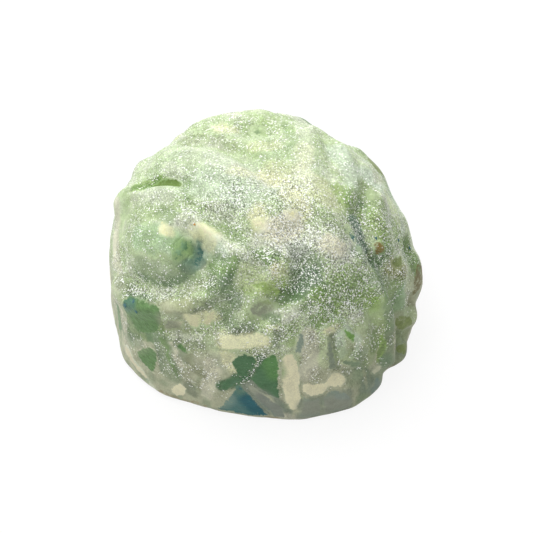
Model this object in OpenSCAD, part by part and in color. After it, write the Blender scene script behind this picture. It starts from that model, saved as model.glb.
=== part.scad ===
// Hand-cast shaving soap puck: a pale mint dome cast over ropy moulded folds, with cut pieces of
// older soap bedded flush in its surface. It stands on its flat foot. Lengths are in millimetres.
// Places on the dome are written as [azimuth, latitude] in degrees, both seen from the middle of
// the foot: azimuth -90 faces the front, 0 the right, 90 the back; latitude 0 is the foot edge.

/* [Puck] */
// Diameter of the bare dome at its foot
puck_d = 68; // [50:1:90]
// Height of the bare dome
puck_h = 43; // [30:1:60]
// Squareness of the dome's side view: 2 is an ellipse, higher is boxier
dome_power = 2.8; // [2:0.1:4]

/* [Foot] */
// How far the foot edge draws in
foot_inset = 0.8; // [0:0.1:2]
// Height over which the foot draws in
foot_height = 1.6; // [0.5:0.1:4]

/* [Folds] */
// How boldly the folds and hollows stand out: 1 is as cast
fold_strength = 1; // [0.6:0.1:1.2]

/* [Bedded pieces] */
// Depth of the thick cut pieces below the surface
block_depth = 5; // [2:0.5:9]
// Depth of the thin shreds and flakes below the surface
shred_depth = 2.5; // [1:0.5:5]
// Share of each side that the outline's corners are cut back by
corner_cut = 0.12; // [0.05:0.01:0.25]

/* [Fineness] */
// Columns of facets round the puck
columns = 96; // [60:6:108]
// Rings of facets from foot to crown
rings = 34; // [20:2:40]

/* [Hidden] */
puck_r = puck_d / 2;
ring_step = 90 / (rings + 1);
// How far a pocket's cutter stands out past the surface
pocket_reach = 0.6 * block_depth;
// The folds are drawn for a puck of this diameter, and grow or shrink with it
drawn_d = 68;
fold_scale = puck_d / drawn_d;
// Latitude that keeps a bedded piece clear of the foot face
lowest_piece = 2;

// Colours of the soaps, as cast
MINT = "#cfe0c4";
LEAF = "#5e8258";
DARK_GREEN = "#4a7350";
TEAL = "#3e6a70";
CREAM = "#e4debb";
GREY = "#80857d";
OLIVE = "#7e8a55";
AMBER = "#8a6a35";

// Moulded folds and hollows: [reach to each side, height, path]; a hollow has a minus height
FOLDS = [
    // Ribbon under the left boss, and the lobes below it
    [4.6, 1.8, [[-156, 28], [-136, 35], [-121, 40], [-111, 45], [-105, 51], [-99, 57]]],
    [4.0, 1.0, [[-104, 33], [-97, 40], [-92, 46]]],
    [5.5, 1.4, [[-88, 37], [-80, 42], [-68, 44]]],
    // Band over the crown and the lobes that fall to the right of it
    [5.5, 1.3, [[50, 65], [30, 75], [-10, 78], [-40, 72], [-50, 64], [-52, 57]]],
    [4.6, 1.2, [[26, 64], [-2, 67], [-20, 63]]],
    [5.0, 1.4, [[10, 56], [-8, 57], [-20, 53], [-28, 46]]],
    // Long folds that sweep over the left shoulder
    [4.2, 1.5, [[176, 44], [-177, 52], [-167, 60], [-150, 67], [-122, 70]]],
    [6.5, 1.5, [[167, 62], [177, 70], [-155, 77], [-100, 77], [-75, 70]]],
    [4.0, 1.5, [[-134, 62], [-113, 60], [-98, 58], [-80, 54]]],
    [5.5, 1.3, [[128, 59], [112, 66], [93, 66]]],
    // Standing edge down the right of the front, and the ring beside it
    [3.6, 1.6, [[-43, 49], [-40, 43], [-38, 35], [-37, 26], [-38, 16], [-39, 10]]],
    [2.8, 0.8, [[-62, 36], [-55, 37], [-50, 32], [-49, 26], [-53, 20]]],
    // Bosses on the front and the crown
    [9.5, 2.6, [[-150, 50], [-143, 52]]],
    [10.0, 1.4, [[-62, 53], [-56, 48]]],
    [8.0, 0.8, [[-84, 67]]],
    // Lumps on the right flank
    [5.0, 1.5, [[-25, 35]]],
    [5.6, 1.7, [[-8, 26], [-8, 19]]],
    [4.6, 1.5, [[-19, 13]]],
    [4.5, 1.0, [[-28, 3]]],
    // Folds that climb the back
    [5.5, 1.7, [[60, 14], [68, 32], [78, 45]]],
    [5.5, 1.7, [[112, 12], [115, 34], [130, 46]]],
    [5.0, 1.5, [[154, 16], [147, 36], [150, 42]]],
    [5.0, 1.3, [[28, 12], [34, 30], [42, 44]]],
    [4.8, 1.2, [[88, 10], [93, 32], [104, 48]]],
    // Broad swells of the left shoulder and the front right corner
    [17.0, 0.9, [[173, 46]]],
    [12.0, 1.1, [[-52, 2], [-42, 2]]],
    [10.0, 1.8, [[-73, 0], [-60, 0]]],
    // Creases between the folds of the crown
    [2.6, -1.5, [[-177, 56], [-171, 64], [-160, 67], [-146, 69]]],
    [3.4, -1.5, [[146, 64], [146, 74], [150, 82], [-100, 86], [-75, 80]]],
    [3.8, -1.4, [[-136, 68], [-120, 66], [-105, 64], [-92, 60]]],
    [3.0, -0.9, [[40, 68], [24, 69], [2, 69], [-13, 66]]],
    [3.6, -1.1, [[18, 54], [-2, 58], [-15, 60], [-26, 59], [-31, 56], [-35, 51], [-39, 48]]],
    // Hollows round the boss, under the ribbon and beside the standing edge
    [4.4, -1.8, [[-131, 58], [-120, 55], [-116, 50], [-122, 45], [-132, 40], [-148, 34]]],
    [3.8, -1.5, [[-122, 31], [-112, 36], [-104, 40], [-100, 45], [-97, 51]]],
    [4.2, -2.0, [[-72, 54], [-74, 50], [-81, 47], [-89, 43]]],
    [3.6, -1.4, [[-37, 46], [-34, 37], [-31, 28], [-31, 17], [-34, 5]]],
    [5.5, -1.6, [[-121, 55]]],
    // Pit behind the crown and nicks between the right lumps
    [4.2, -1.6, [[104, 76], [90, 76]]],
    [3.4, -1.6, [[-10, 37]]],
    [2.8, -1.3, [[-18, 20]]],
    [2.8, -1.2, [[-24, 9]]],
    // Falls and swells of the shoulders, the left waist and the foot
    [15.0, -1.7, [[38, 54]]],
    [13.0, -1.5, [[-168, 11]]],
    [8.0, -0.6, [[-115, 0], [-103, 0]]],
    [9.0, 0.6, [[-146, 1], [-130, 1]]],
    [9.0, -1.7, [[17, 41]]],
    [7.0, -1.0, [[8, 48]]],
    [6.0, -1.1, [[134, 47]]],
    [7.0, -1.0, [[54, 61]]],
    [7.0, -0.7, [[56, 53]]],
    [12.0, -0.6, [[140, 60]]],
    [5.0, 0.7, [[-47, 3]]],
    [4.2, -1.5, [[-38, 3]]],
];

// Bedded pieces: [name, colour, depth, corners of the outline]
PIECES = [
    // Low on the front wall, from left to right
    ["left_rim_green", LEAF, block_depth,
        [[-166, 22], [-157, 26], [-155, 20], [-154, 12], [-160, 7], [-166, 9]]],
    ["left_rim_cream", CREAM, shred_depth,
        [[-150, 9], [-146.5, 11], [-143, 7.8], [-133.5, 5], [-136, 3.5], [-144, 5.3], [-148, 7]]],
    ["left_leaf", LEAF, block_depth,
        [[-149.5, 27], [-148, 31.5], [-143, 34], [-132, 36.7], [-129, 36.5], [-128.5, 33],
         [-130.5, 27.5], [-135.5, 24], [-140, 22], [-144.5, 18.5], [-148, 20.5]]],
    ["left_wedge", LEAF, block_depth,
        [[-141.5, 12.5], [-138.5, 16], [-134.5, 19.5], [-131.5, 20], [-130.5, 17], [-131, 8.7],
         [-136.5, 9.7], [-139.5, 10.7]]],
    ["left_cream_foot", CREAM, shred_depth,
        [[-124, 6.5], [-120, 11], [-117.5, 8.5], [-118.5, 5], [-121.5, 3], [-123.5, 4.2]]],
    ["left_grey", GREY, shred_depth,
        [[-128, 31.5], [-127, 33.2], [-124.5, 34.7], [-120, 36], [-120.5, 33.5], [-124, 30.5],
         [-128, 29.8]]],
    ["green_sliver", LEAF, shred_depth,
        [[-123, 26.7], [-119.5, 27.6], [-116.5, 25], [-117.5, 24.3], [-121.5, 25.4]]],
    ["cream_nub", CREAM, block_depth,
        [[-118.5, 37.5], [-116.5, 38.7], [-113.7, 39], [-114.5, 35], [-117, 33.5], [-119, 35]]],
    ["cream_slant", CREAM, shred_depth,
        [[-113, 37], [-111.5, 39.7], [-108, 42], [-108.5, 39.5], [-109.5, 37], [-112.5, 35.2]]],
    ["cream_bar", CREAM, block_depth,
        [[-105, 32.5], [-105, 34.5], [-102, 35.5], [-95.5, 35.5], [-91, 37], [-87, 35], [-88.5, 33],
         [-94, 31.5], [-97, 30.5], [-104, 30.3]]],
    ["dark_leaf_upper", DARK_GREEN, block_depth,
        [[-100.5, 27], [-97.5, 29], [-94.5, 29.5], [-91.5, 27], [-92.5, 25], [-94, 23], [-95.5, 19.8],
         [-98.5, 20.9], [-100.5, 24.5]]],
    ["dark_leaf_lower", DARK_GREEN, block_depth,
        [[-104, 13.5], [-104, 16], [-102, 18.5], [-98.7, 20.1], [-96.3, 19], [-99.5, 17],
         [-102, 13.5]]],
    ["dark_leaf_right", DARK_GREEN, block_depth,
        [[-94.2, 19.3], [-91.5, 24], [-89.2, 27.3], [-87.5, 29], [-86, 29.5], [-84.1, 27.5], [-84, 22],
         [-84.2, 16], [-83.4, 10], [-87, 12.2], [-92.5, 17.2]]],
    ["teal_wedge", TEAL, block_depth,
        [[-107.5, 2], [-104, 6], [-101, 12], [-99.5, 16], [-97.2, 17.2], [-93.5, 12], [-90.2, 7],
         [-86.9, 2]]],
    ["grey_strip", GREY, shred_depth,
        [[-95.8, 17.7], [-92.5, 16.3], [-87, 11.2], [-82.2, 5.7], [-81.5, 2], [-86, 2], [-89.3, 7],
         [-93, 12.8], [-95.3, 16]]],
    ["cream_post", CREAM, block_depth,
        [[-82.7, 27.5], [-81, 29], [-79, 29], [-77, 26], [-76.5, 21], [-76.5, 9], [-78, 6], [-80, 5.5],
         [-82, 9.5], [-83.2, 18], [-83, 24]]],
    ["grey_foot", GREY, block_depth,
        [[-75.6, 11], [-73.4, 9.7], [-69.6, 8.6], [-69.5, 2], [-77.5, 2], [-77, 5], [-75.8, 8]]],
    ["cream_step", CREAM, block_depth,
        [[-75.7, 16.3], [-71.5, 15.2], [-68.8, 14.4], [-67, 14.6], [-65.2, 17], [-63, 17.5],
         [-60.5, 15.5], [-59, 12.5], [-61, 10.8], [-66, 11.8], [-69, 9.7], [-73.5, 10.7],
         [-75.7, 12.5]]],
    ["grey_slab", GREY, block_depth,
        [[-68.7, 8.2], [-67, 10.2], [-65, 10.6], [-63, 10], [-59.5, 7.7], [-58.5, 5], [-60, 2],
         [-68.8, 2]]],
    ["grey_chip", GREY, shred_depth,
        [[-77, 34.5], [-75.5, 36], [-74, 35], [-74.2, 31.5], [-75.5, 28], [-77, 28], [-78.5, 30]]],
    ["cream_chip", CREAM, shred_depth,
        [[-66.7, 34.7], [-64.5, 35.2], [-62.2, 32.8], [-64.5, 32.8], [-66.2, 33.2]]],
    ["grey_stripe", GREY, shred_depth,
        [[-66, 32], [-64.3, 31.5], [-63.8, 27], [-62.5, 20], [-62.8, 18.7], [-65, 19], [-66, 21.5]]],
    ["ring_leaf", LEAF, shred_depth,
        [[-59, 32.5], [-56.5, 31.5], [-54.2, 28], [-54.5, 26], [-56, 26.5], [-58.3, 29.5]]],
    ["dark_crescent", DARK_GREEN, shred_depth,
        [[-61, 20], [-59, 20.5], [-54, 18.5], [-52.5, 16.5], [-54, 15.5], [-56.8, 16.3], [-59, 19]]],
    ["teal_corner", TEAL, block_depth,
        [[-47.5, 7], [-45.5, 6.5], [-44.5, 4], [-46, 2], [-52, 2], [-51, 4.5]]],
    ["cream_corner", CREAM, shred_depth,
        [[-49, 10], [-46.5, 10.8], [-44.5, 11], [-43, 10], [-44, 8.2], [-47, 8.5]]],
    // On the right flank
    ["edge_green", LEAF, shred_depth,
        [[-41.5, 20.5], [-40.8, 18.5], [-41.5, 16], [-43.2, 13.7], [-45.3, 13.7], [-45, 16],
         [-43, 18]]],
    ["flank_olive", OLIVE, block_depth,
        [[-29, 20.5], [-25, 19], [-22, 15.5], [-22, 11], [-28, 14], [-29.5, 17]]],
    ["flank_olive_low", OLIVE, shred_depth, [[-30.5, 8.5], [-26, 7.5], [-25, 5], [-29, 4], [-31, 5.5]]],
    ["flank_amber", AMBER, shred_depth,
        [[-10, 29], [-8, 26], [-8.5, 22], [-11, 19.5], [-15, 19], [-15.5, 24], [-13, 28]]],
    ["lobe_amber", AMBER, shred_depth,
        [[-32.5, 50], [-30, 49.7], [-29, 48.3], [-31.5, 46], [-34, 46.7], [-33.5, 48.5]]],
    ["lobe_olive", OLIVE, shred_depth, [[-28.5, 42], [-24, 41.2], [-20, 39], [-24.5, 38], [-28, 39.5]]],
    // On the front folds
    ["hollow_grey", GREY, shred_depth,
        [[-93, 45.5], [-91, 46.5], [-87, 46.3], [-83, 45], [-84, 43.5], [-90, 41], [-94, 41.5],
         [-95.5, 43]]],
    ["hollow_green", LEAF, shred_depth,
        [[-95, 50], [-93.5, 51], [-88, 50.8], [-82, 48.7], [-83, 47], [-85, 47.3], [-91.5, 49]]],
    ["boss_green", DARK_GREEN, shred_depth,
        [[-132.5, 54], [-133.5, 57], [-131, 58.5], [-128.7, 58], [-127.3, 53.5], [-127.7, 51],
         [-129.5, 49.2], [-131.5, 51]]],
    ["boss_teal", TEAL, shred_depth,
        [[-126.3, 58], [-122, 58.2], [-120, 56.3], [-120, 53], [-122.5, 49.7], [-125.3, 50.7],
         [-126, 54]]],
    ["boss_cream", CREAM, shred_depth,
        [[-143.5, 55.7], [-146.5, 56.7], [-143.5, 57.8], [-139.5, 57.2], [-137, 54.7], [-140, 53.6]]],
    ["fold_cream", CREAM, shred_depth,
        [[-128.5, 62], [-124.5, 62.7], [-119, 62.2], [-111, 60], [-113.5, 59.3], [-123.5, 60],
         [-127.7, 60.7]]],
    // On the crown
    ["crown_cream", CREAM, shred_depth,
        [[-97.5, 67], [-93.5, 67.7], [-88, 67], [-86.5, 65.5], [-88, 64], [-92.5, 63.8],
         [-95.7, 65.3]]],
    ["crest_cream", CREAM, shred_depth,
        [[-76, 68.3], [-69.5, 69], [-65, 68.5], [-64.5, 67], [-68.5, 65.5], [-73, 66]]],
    ["crease_olive", OLIVE, shred_depth,
        [[-177, 58], [-176.5, 62.5], [-172, 65.5], [-166, 67], [-162.5, 66], [-168, 62.5], [-170, 60]]],
    ["groove_teal", TEAL, shred_depth,
        [[-42, 59.5], [-39.5, 58.5], [-39, 54], [-40.5, 51.5], [-43.5, 50.5], [-44.5, 52.5],
         [-44, 57]]],
    ["lobe_cream", CREAM, shred_depth, [[-10, 59.5], [-8, 58], [-11, 57], [-16, 57.2], [-14, 59]]],
    ["pit_green", DARK_GREEN, shred_depth,
        [[103.5, 74], [100, 72.5], [86, 72.8], [87, 75.5], [91, 78.5], [98, 76.5]]],
    // Round the back, from right to left
    ["side_wedge", LEAF, block_depth, [[12, 20], [24, 22], [26, 9], [14, 8]]],
    ["side_cream", CREAM, shred_depth, [[36, 14], [44, 15], [44, 8], [37, 7]]],
    ["back_olive", OLIVE, shred_depth, [[30, 43], [38, 45], [40, 37], [31, 36]]],
    ["back_cream_bar", CREAM, block_depth, [[48, 31], [64, 33], [66, 28], [50, 26]]],
    ["back_crown_green", LEAF, shred_depth, [[60, 57], [72, 59], [74, 51], [62, 50]]],
    ["back_teal", TEAL, block_depth, [[71, 14], [84, 15], [88, 4], [69, 3]]],
    ["back_leaf", DARK_GREEN, block_depth, [[100, 30], [112, 33], [118, 24], [108, 17], [98, 21]]],
    ["back_grey", GREY, block_depth, [[95, 13], [112, 12], [110, 4], [96, 3]]],
    ["back_cream_chip", CREAM, shred_depth, [[116, 58], [126, 60], [128, 54], [118, 52]]],
    ["back_cream_post", CREAM, block_depth, [[134, 27], [139, 27], [140, 8], [134, 7]]],
    ["back_left_leaf", LEAF, block_depth, [[150, 34], [160, 36], [164, 24], [153, 20]]],
    ["back_left_cream", CREAM, shred_depth, [[172, 16], [180, 17], [180, 9], [173, 8]]],
];

// Bare dome
function direction(place) =
    [cos(place[1]) * cos(place[0]), cos(place[1]) * sin(place[0]), sin(place[1])];
function dome_radius(latitude) =
    pow(pow(cos(latitude) / puck_r, dome_power) + pow(sin(latitude) / puck_h, dome_power), -1 / dome_power);
function dome_point(place) = dome_radius(place[1]) * direction(place);

// Corner cutting rounds an open path or a closed outline
function cut_path(path) = len(path) < 3 ? path : concat(
    [path[0]],
    [for (i = [0:len(path) - 2], t = [1/4, 3/4])
        if ((i > 0 || t > 1/2) && (i < len(path) - 2 || t < 1/2)) path[i] * (1 - t) + path[i + 1] * t],
    [path[len(path) - 1]]);
function cut_outline(outline) =
    [for (i = [0:len(outline) - 1], t = [corner_cut, 1 - corner_cut])
        outline[i] * (1 - t) + outline[(i + 1) % len(outline)] * t];
function sum(values) = values * [for (value = values) 1];
function middle(points) = [for (k = [0:len(points[0]) - 1]) sum([for (p = points) p[k]]) / len(points)];

// Relief: each fold swells smoothly to its height along its path and fades out at its reach
function span_gap(point, a, b) =
    let (along = b - a, t = max(0, min(1, (point - a) * along / (along * along))))
    norm(point - a - t * along);
function path_gap(point, path) = len(path) == 1
    ? norm(point - path[0])
    : min([for (i = [0:len(path) - 2]) span_gap(point, path[i], path[i + 1])]);
function fold_height(point, fold) =
    let (share = path_gap(point, fold[2]) / fold[0]) share < 1 ? fold[1] * pow(1 - share * share, 2) : 0;

// Each fold with its path laid on the dome, and a ball that holds all it reaches
LAID_FOLDS = [for (fold = FOLDS)
    let (path = cut_path(cut_path([for (place = fold[2]) dome_point(place)])), heart = middle(path),
        reach = fold[0] * fold_scale, height = fold[1] * fold_scale * fold_strength)
    [reach, height, path, heart, reach + max([for (point = path) norm(point - heart)])]];
function relief(point) =
    let (near = [for (fold = LAID_FOLDS) if (norm(point - fold[3]) < fold[4]) fold])
    sum(concat([0], [for (fold = near) fold_height(point, fold)]));
function foot_draw(height) = foot_inset * pow(max(0, 1 - height / foot_height), 2);
function cast_radius(place) =
    let (point = dome_point(place)) norm(point) + relief(point) - foot_draw(point[2]);

// Radius at every ring and column of facets, and between them, so that pieces lie flush with the facets
CAST_RADII = [for (ring = [0:rings + 1])
    [for (column = [0:columns - 1]) cast_radius([column * 360 / columns, ring * ring_step])]];
function ring_radius(ring, turn) =
    let (column = floor(turn), share = turn - column, first = (column + columns) % columns)
    CAST_RADII[ring][first] * (1 - share) + CAST_RADII[ring][(first + 1) % columns] * share;
function skin_radius(place) =
    let (turn = place[0] * columns / 360, ring = min(rings, floor(place[1] / ring_step)),
        share = place[1] / ring_step - ring)
    ring_radius(ring, turn) * (1 - share) + ring_radius(ring + 1, turn) * share;
function skin_point(place) = skin_radius(place) * direction(place);

// Skin of the whole casting, from the foot edge up to the crown
module cast_form() {
    points = concat(
        [for (ring = [0:rings], column = [0:columns - 1])
            CAST_RADII[ring][column] * direction([column * 360 / columns, ring * ring_step])],
        [skin_point([0, 90])]);
    crown = len(points) - 1;
    foot_face = [[for (column = [0:columns - 1]) column]];
    wall_faces = [for (ring = [0:rings - 1], column = [0:columns - 1])
        let (a = ring * columns + column, b = ring * columns + (column + 1) % columns,
            c = a + columns, d = b + columns)
        each norm(points[a] - points[d]) < norm(points[b] - points[c])
            ? [[a, c, d], [a, d, b]] : [[a, c, b], [b, c, d]]];
    crown_faces = [for (column = [0:columns - 1])
        [rings * columns + column, crown, rings * columns + (column + 1) % columns]];
    polyhedron(points, concat(foot_face, wall_faces, crown_faces));
}

// Solid between an inner and an outer ring of like points, with a top fan and a bottom fan
module banded_solid(bands, top, bottom) {
    count = len(bands[0]);
    top_index = len(bands) * count;
    points = concat([for (band = bands) each band], [top, bottom]);
    walls = [for (band = [0:len(bands) - 2], i = [0:count - 1])
        let (a = band * count + i, b = band * count + (i + 1) % count)
        each [[a, b, a + count], [b, b + count, a + count]]];
    bottom_fan = [for (i = [0:count - 1]) [(i + 1) % count, i, top_index + 1]];
    top_fan = [for (i = [0:count - 1])
        let (last = (len(bands) - 1) * count) [last + i, last + (i + 1) % count, top_index]];
    polyhedron(points, [for (face = concat(walls, bottom_fan, top_fan)) [face[2], face[1], face[0]]]);
}

function anticlockwise(outline) =
    sum([for (i = [0:len(outline) - 1]) cross(outline[i], outline[(i + 1) % len(outline)])]) > 0
        ? outline : [for (i = [len(outline) - 1:-1:0]) outline[i]];
function piece_outline(piece) =
    [for (place = cut_outline(anticlockwise(piece[3]))) [place[0], max(place[1], lowest_piece)]];

// Bedded piece: its walls run towards the middle of the foot, its face is part of the skin.
// The thick pieces are also the wide ones, and get a middle ring so that their face follows the folds.
module bedded_piece(piece) {
    outline = piece_outline(piece);
    heart = middle(outline);
    inner = [for (place = outline) (skin_radius(place) - piece[2]) * direction(place)];
    outer = [for (place = outline) skin_point(place)];
    half = [for (place = outline) skin_point((place + heart) / 2)];
    bands = piece[2] > shred_depth ? [inner, outer, half] : [inner, outer];
    color(piece[1])
        banded_solid(bands, skin_point(heart), (skin_radius(heart) - piece[2]) * direction(heart));
}

// Pocket that a bedded piece fills, open through the skin
module pocket(piece) {
    outline = piece_outline(piece);
    heart = middle(outline);
    inner = [for (place = outline) (skin_radius(place) - piece[2]) * direction(place)];
    outer = [for (place = outline) (skin_radius(place) + pocket_reach) * direction(place)];
    banded_solid([inner, outer], (skin_radius(heart) + pocket_reach) * direction(heart),
        (skin_radius(heart) - piece[2]) * direction(heart));
}

// Pale mint soap that holds everything together
module soap_base() {
    color(MINT)
        difference() {
            cast_form();
            for (piece = PIECES) pocket(piece);
        }
}

soap_base();
for (piece = PIECES)
    bedded_piece(piece);
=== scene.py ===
import math

import bpy
import numpy as np
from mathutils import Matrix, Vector, geometry, noise


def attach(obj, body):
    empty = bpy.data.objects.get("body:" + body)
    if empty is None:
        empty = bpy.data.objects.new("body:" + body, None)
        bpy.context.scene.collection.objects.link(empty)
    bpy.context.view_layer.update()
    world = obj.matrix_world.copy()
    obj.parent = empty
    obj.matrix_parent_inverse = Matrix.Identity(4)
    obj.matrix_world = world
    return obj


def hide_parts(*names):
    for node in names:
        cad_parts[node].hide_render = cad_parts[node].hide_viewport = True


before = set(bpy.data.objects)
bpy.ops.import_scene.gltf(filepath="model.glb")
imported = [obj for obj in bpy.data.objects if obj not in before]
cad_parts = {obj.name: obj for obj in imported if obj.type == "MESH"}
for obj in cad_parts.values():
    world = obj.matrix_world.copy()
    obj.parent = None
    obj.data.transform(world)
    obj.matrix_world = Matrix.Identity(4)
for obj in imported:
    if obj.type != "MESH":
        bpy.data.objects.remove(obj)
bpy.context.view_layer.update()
MM = 0.001


# Poured base: pale mint soap poured round the cut pieces in a domed mould lined with ropy folds.
# It sets smooth and greyish against the mould wall, frosted on the folds, and stands on its flat foot;
# painted light brightens some slopes and crests and painted shade darkens its grooves, hollows and
# undersides.
# Places on it are azimuth and latitude in degrees, seen from the middle of the foot, front at -90.
puck_radius = 34 * MM
puck_height = 43 * MM
dome_power = 2.8
foot_inset = 0.8 * MM
foot_height = 1.6 * MM
columns = 560
rings = 168

# Folds and hollows of the mould: reach to each side and height in millimetres, then the path
folds = [
    (4.6, 1.8, [(-156, 28), (-136, 35), (-121, 40), (-111, 45), (-105, 51), (-99, 57)]),
    (4.0, 1.0, [(-104, 33), (-97, 40), (-92, 46)]),
    (5.5, 1.4, [(-88, 37), (-80, 42), (-68, 44)]),
    (5.5, 1.3, [(50, 65), (30, 75), (-10, 78), (-40, 72), (-50, 64), (-52, 57)]),
    (4.6, 1.2, [(26, 64), (-2, 67), (-20, 63)]),
    (5.0, 1.4, [(10, 56), (-8, 57), (-20, 53), (-28, 46)]),
    (4.2, 1.5, [(176, 44), (-177, 52), (-167, 60), (-150, 67), (-122, 70)]),
    (6.5, 1.5, [(167, 62), (177, 70), (-155, 77), (-100, 77), (-75, 70)]),
    (4.0, 1.5, [(-134, 62), (-113, 60), (-98, 58), (-80, 54)]),
    (5.5, 1.3, [(128, 59), (112, 66), (93, 66)]),
    (3.6, 1.6, [(-43, 49), (-40, 43), (-38, 35), (-37, 26), (-38, 16), (-39, 10)]),
    (2.8, 0.8, [(-62, 36), (-55, 37), (-50, 32), (-49, 26), (-53, 20)]),
    (9.5, 2.6, [(-150, 50), (-143, 52)]),
    (10.0, 1.4, [(-62, 53), (-56, 48)]),
    (8.0, 0.8, [(-84, 67)]),
    (5.0, 1.5, [(-25, 35)]),
    (5.6, 1.7, [(-8, 26), (-8, 19)]),
    (4.6, 1.5, [(-19, 13)]),
    (4.5, 1.0, [(-28, 3)]),
    (5.5, 1.7, [(60, 14), (68, 32), (78, 45)]),
    (5.5, 1.7, [(112, 12), (115, 34), (130, 46)]),
    (5.0, 1.5, [(154, 16), (147, 36), (150, 42)]),
    (5.0, 1.3, [(28, 12), (34, 30), (42, 44)]),
    (4.8, 1.2, [(88, 10), (93, 32), (104, 48)]),
    (17.0, 0.9, [(173, 46)]),
    (12.0, 1.1, [(-52, 2), (-42, 2)]),
    (10.0, 1.8, [(-73, 0), (-60, 0)]),
    (2.6, -1.5, [(-177, 56), (-171, 64), (-160, 67), (-146, 69)]),
    (3.4, -1.5, [(146, 64), (146, 74), (150, 82), (-100, 86), (-75, 80)]),
    (3.8, -1.4, [(-136, 68), (-120, 66), (-105, 64), (-92, 60)]),
    (3.0, -0.9, [(40, 68), (24, 69), (2, 69), (-13, 66)]),
    (3.6, -1.1, [(18, 54), (-2, 58), (-15, 60), (-26, 59), (-31, 56), (-35, 51), (-39, 48)]),
    (4.4, -1.8, [(-131, 58), (-120, 55), (-116, 50), (-122, 45), (-132, 40), (-148, 34)]),
    (3.8, -1.5, [(-122, 31), (-112, 36), (-104, 40), (-100, 45), (-97, 51)]),
    (4.2, -2.0, [(-72, 54), (-74, 50), (-81, 47), (-89, 43)]),
    (3.6, -1.4, [(-37, 46), (-34, 37), (-31, 28), (-31, 17), (-34, 5)]),
    (5.5, -1.6, [(-121, 55)]),
    (4.2, -1.6, [(104, 76), (90, 76)]),
    (3.4, -1.6, [(-10, 37)]),
    (2.8, -1.3, [(-18, 20)]),
    (2.8, -1.2, [(-24, 9)]),
    (15.0, -1.7, [(38, 54)]),
    (13.0, -1.5, [(-168, 11)]),
    (8.0, -0.6, [(-115, 0), (-103, 0)]),
    (9.0, 0.6, [(-146, 1), (-130, 1)]),
    (9.0, -1.7, [(17, 41)]),
    (7.0, -1.0, [(8, 48)]),
    (6.0, -1.1, [(134, 47)]),
    (7.0, -1.0, [(54, 61)]),
    (7.0, -0.7, [(56, 53)]),
    (12.0, -0.6, [(140, 60)]),
    (5.0, 0.7, [(-47, 3)]),
    (4.2, -1.5, [(-38, 3)]),
]

# Ripples of the mould's lining: height and wavelength in millimetres, and the noise's seed
ripples = [(0.16, 4.5, 3.0), (0.06, 1.5, 8.0)]
crown_rise = (16 * MM, 26 * MM)
drag_height = 0.16 * MM
drag_turn = np.array([(0.76, 0.65, 0), (-0.65, 0.76, 0), (0, 0, 1)])
drag_stretch = (9.0, 1.7, 3.0)
drag_seed = 91.0


def smooth_step(values, low, high):
    """0 up to the low end, 1 from the high end, and a smooth rise between."""
    share = np.clip((values - low) / (high - low), 0, 1)
    return share * share * (3 - 2 * share)


def direction(azimuth, latitude):
    """Unit vectors from the middle of the foot."""
    a = np.radians(azimuth)
    b = np.radians(latitude)
    return np.stack([np.cos(b) * np.cos(a), np.cos(b) * np.sin(a), np.sin(b)], axis=-1)


def dome_radius(latitude):
    """Distance from the middle of the foot to the bare dome, which has no folds."""
    b = np.radians(latitude)
    side = np.abs(np.cos(b)) / puck_radius
    rise = np.abs(np.sin(b)) / puck_height
    return (side**dome_power + rise**dome_power) ** (-1 / dome_power)


def dome_point(azimuth, latitude):
    return dome_radius(latitude)[..., None] * direction(azimuth, latitude)


def laid_path(places):
    """The path on the bare dome, with its corners cut twice."""
    places = np.array(places, float)
    path = dome_point(places[:, 0], places[:, 1])
    for _ in range(2):
        if len(path) > 2:
            early = path[:-1] * 0.75 + path[1:] * 0.25
            late = path[:-1] * 0.25 + path[1:] * 0.75
            between = np.stack([early, late], axis=1).reshape(-1, 3)[1:-1]
            path = np.concatenate([path[:1], between, path[-1:]])
    return path


def nearness(points, places, reach):
    """1 on the path, falling evenly to 0 at the reach and beyond."""
    path = laid_path(places)
    gap = np.linalg.norm(points - path[0], axis=-1)
    for start, end in zip(path[:-1], path[1:]):
        along = end - start
        share = np.clip((points - start) @ along / (along @ along), 0, 1)
        gap = np.minimum(gap, np.linalg.norm(points - start - share[..., None] * along, axis=-1))
    return np.clip(1 - gap / reach, 0, None)


def ripple(points, wavelength, seed):
    """Smooth noise, mostly from -0.7 to 0.7, with features of that size."""
    shifted = points.reshape(-1, 3) / wavelength + seed
    values = np.array([noise.noise(Vector(p)) for p in shifted])
    return values.reshape(points.shape[:-1])


def streaks(points):
    """Smooth noise drawn out along the way the soap was dragged over the crown."""
    dragged = points @ drag_turn
    return ripple(dragged / drag_stretch, MM, drag_seed)


def skin(azimuth, latitude, lift=0.0):
    """Points on the casting's surface, or that far outside it."""
    bare = dome_point(azimuth, latitude)
    radius = dome_radius(latitude) + lift
    for reach, height, places in folds:
        gap = 1 - nearness(bare, places, reach * MM)
        radius = radius + height * MM * (1 - gap**2) ** 2
    for height, wavelength, seed in ripples:
        radius = radius + height * MM * ripple(bare, wavelength * MM, seed)
    radius = radius + drag_height * streaks(bare) * smooth_step(bare[..., 2], *crown_rise)
    radius = radius - foot_inset * np.clip(1 - bare[..., 2] / foot_height, 0, 1) ** 2
    return radius[..., None] * direction(azimuth, latitude)


def linear(code):
    """Linear red, green and blue of a six-digit colour code."""
    share = np.array([int(code[i:i + 2], 16) for i in (0, 2, 4)]) / 255
    return np.where(share <= 0.04045, share / 12.92, ((share + 0.055) / 1.055) ** 2.4)
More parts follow.
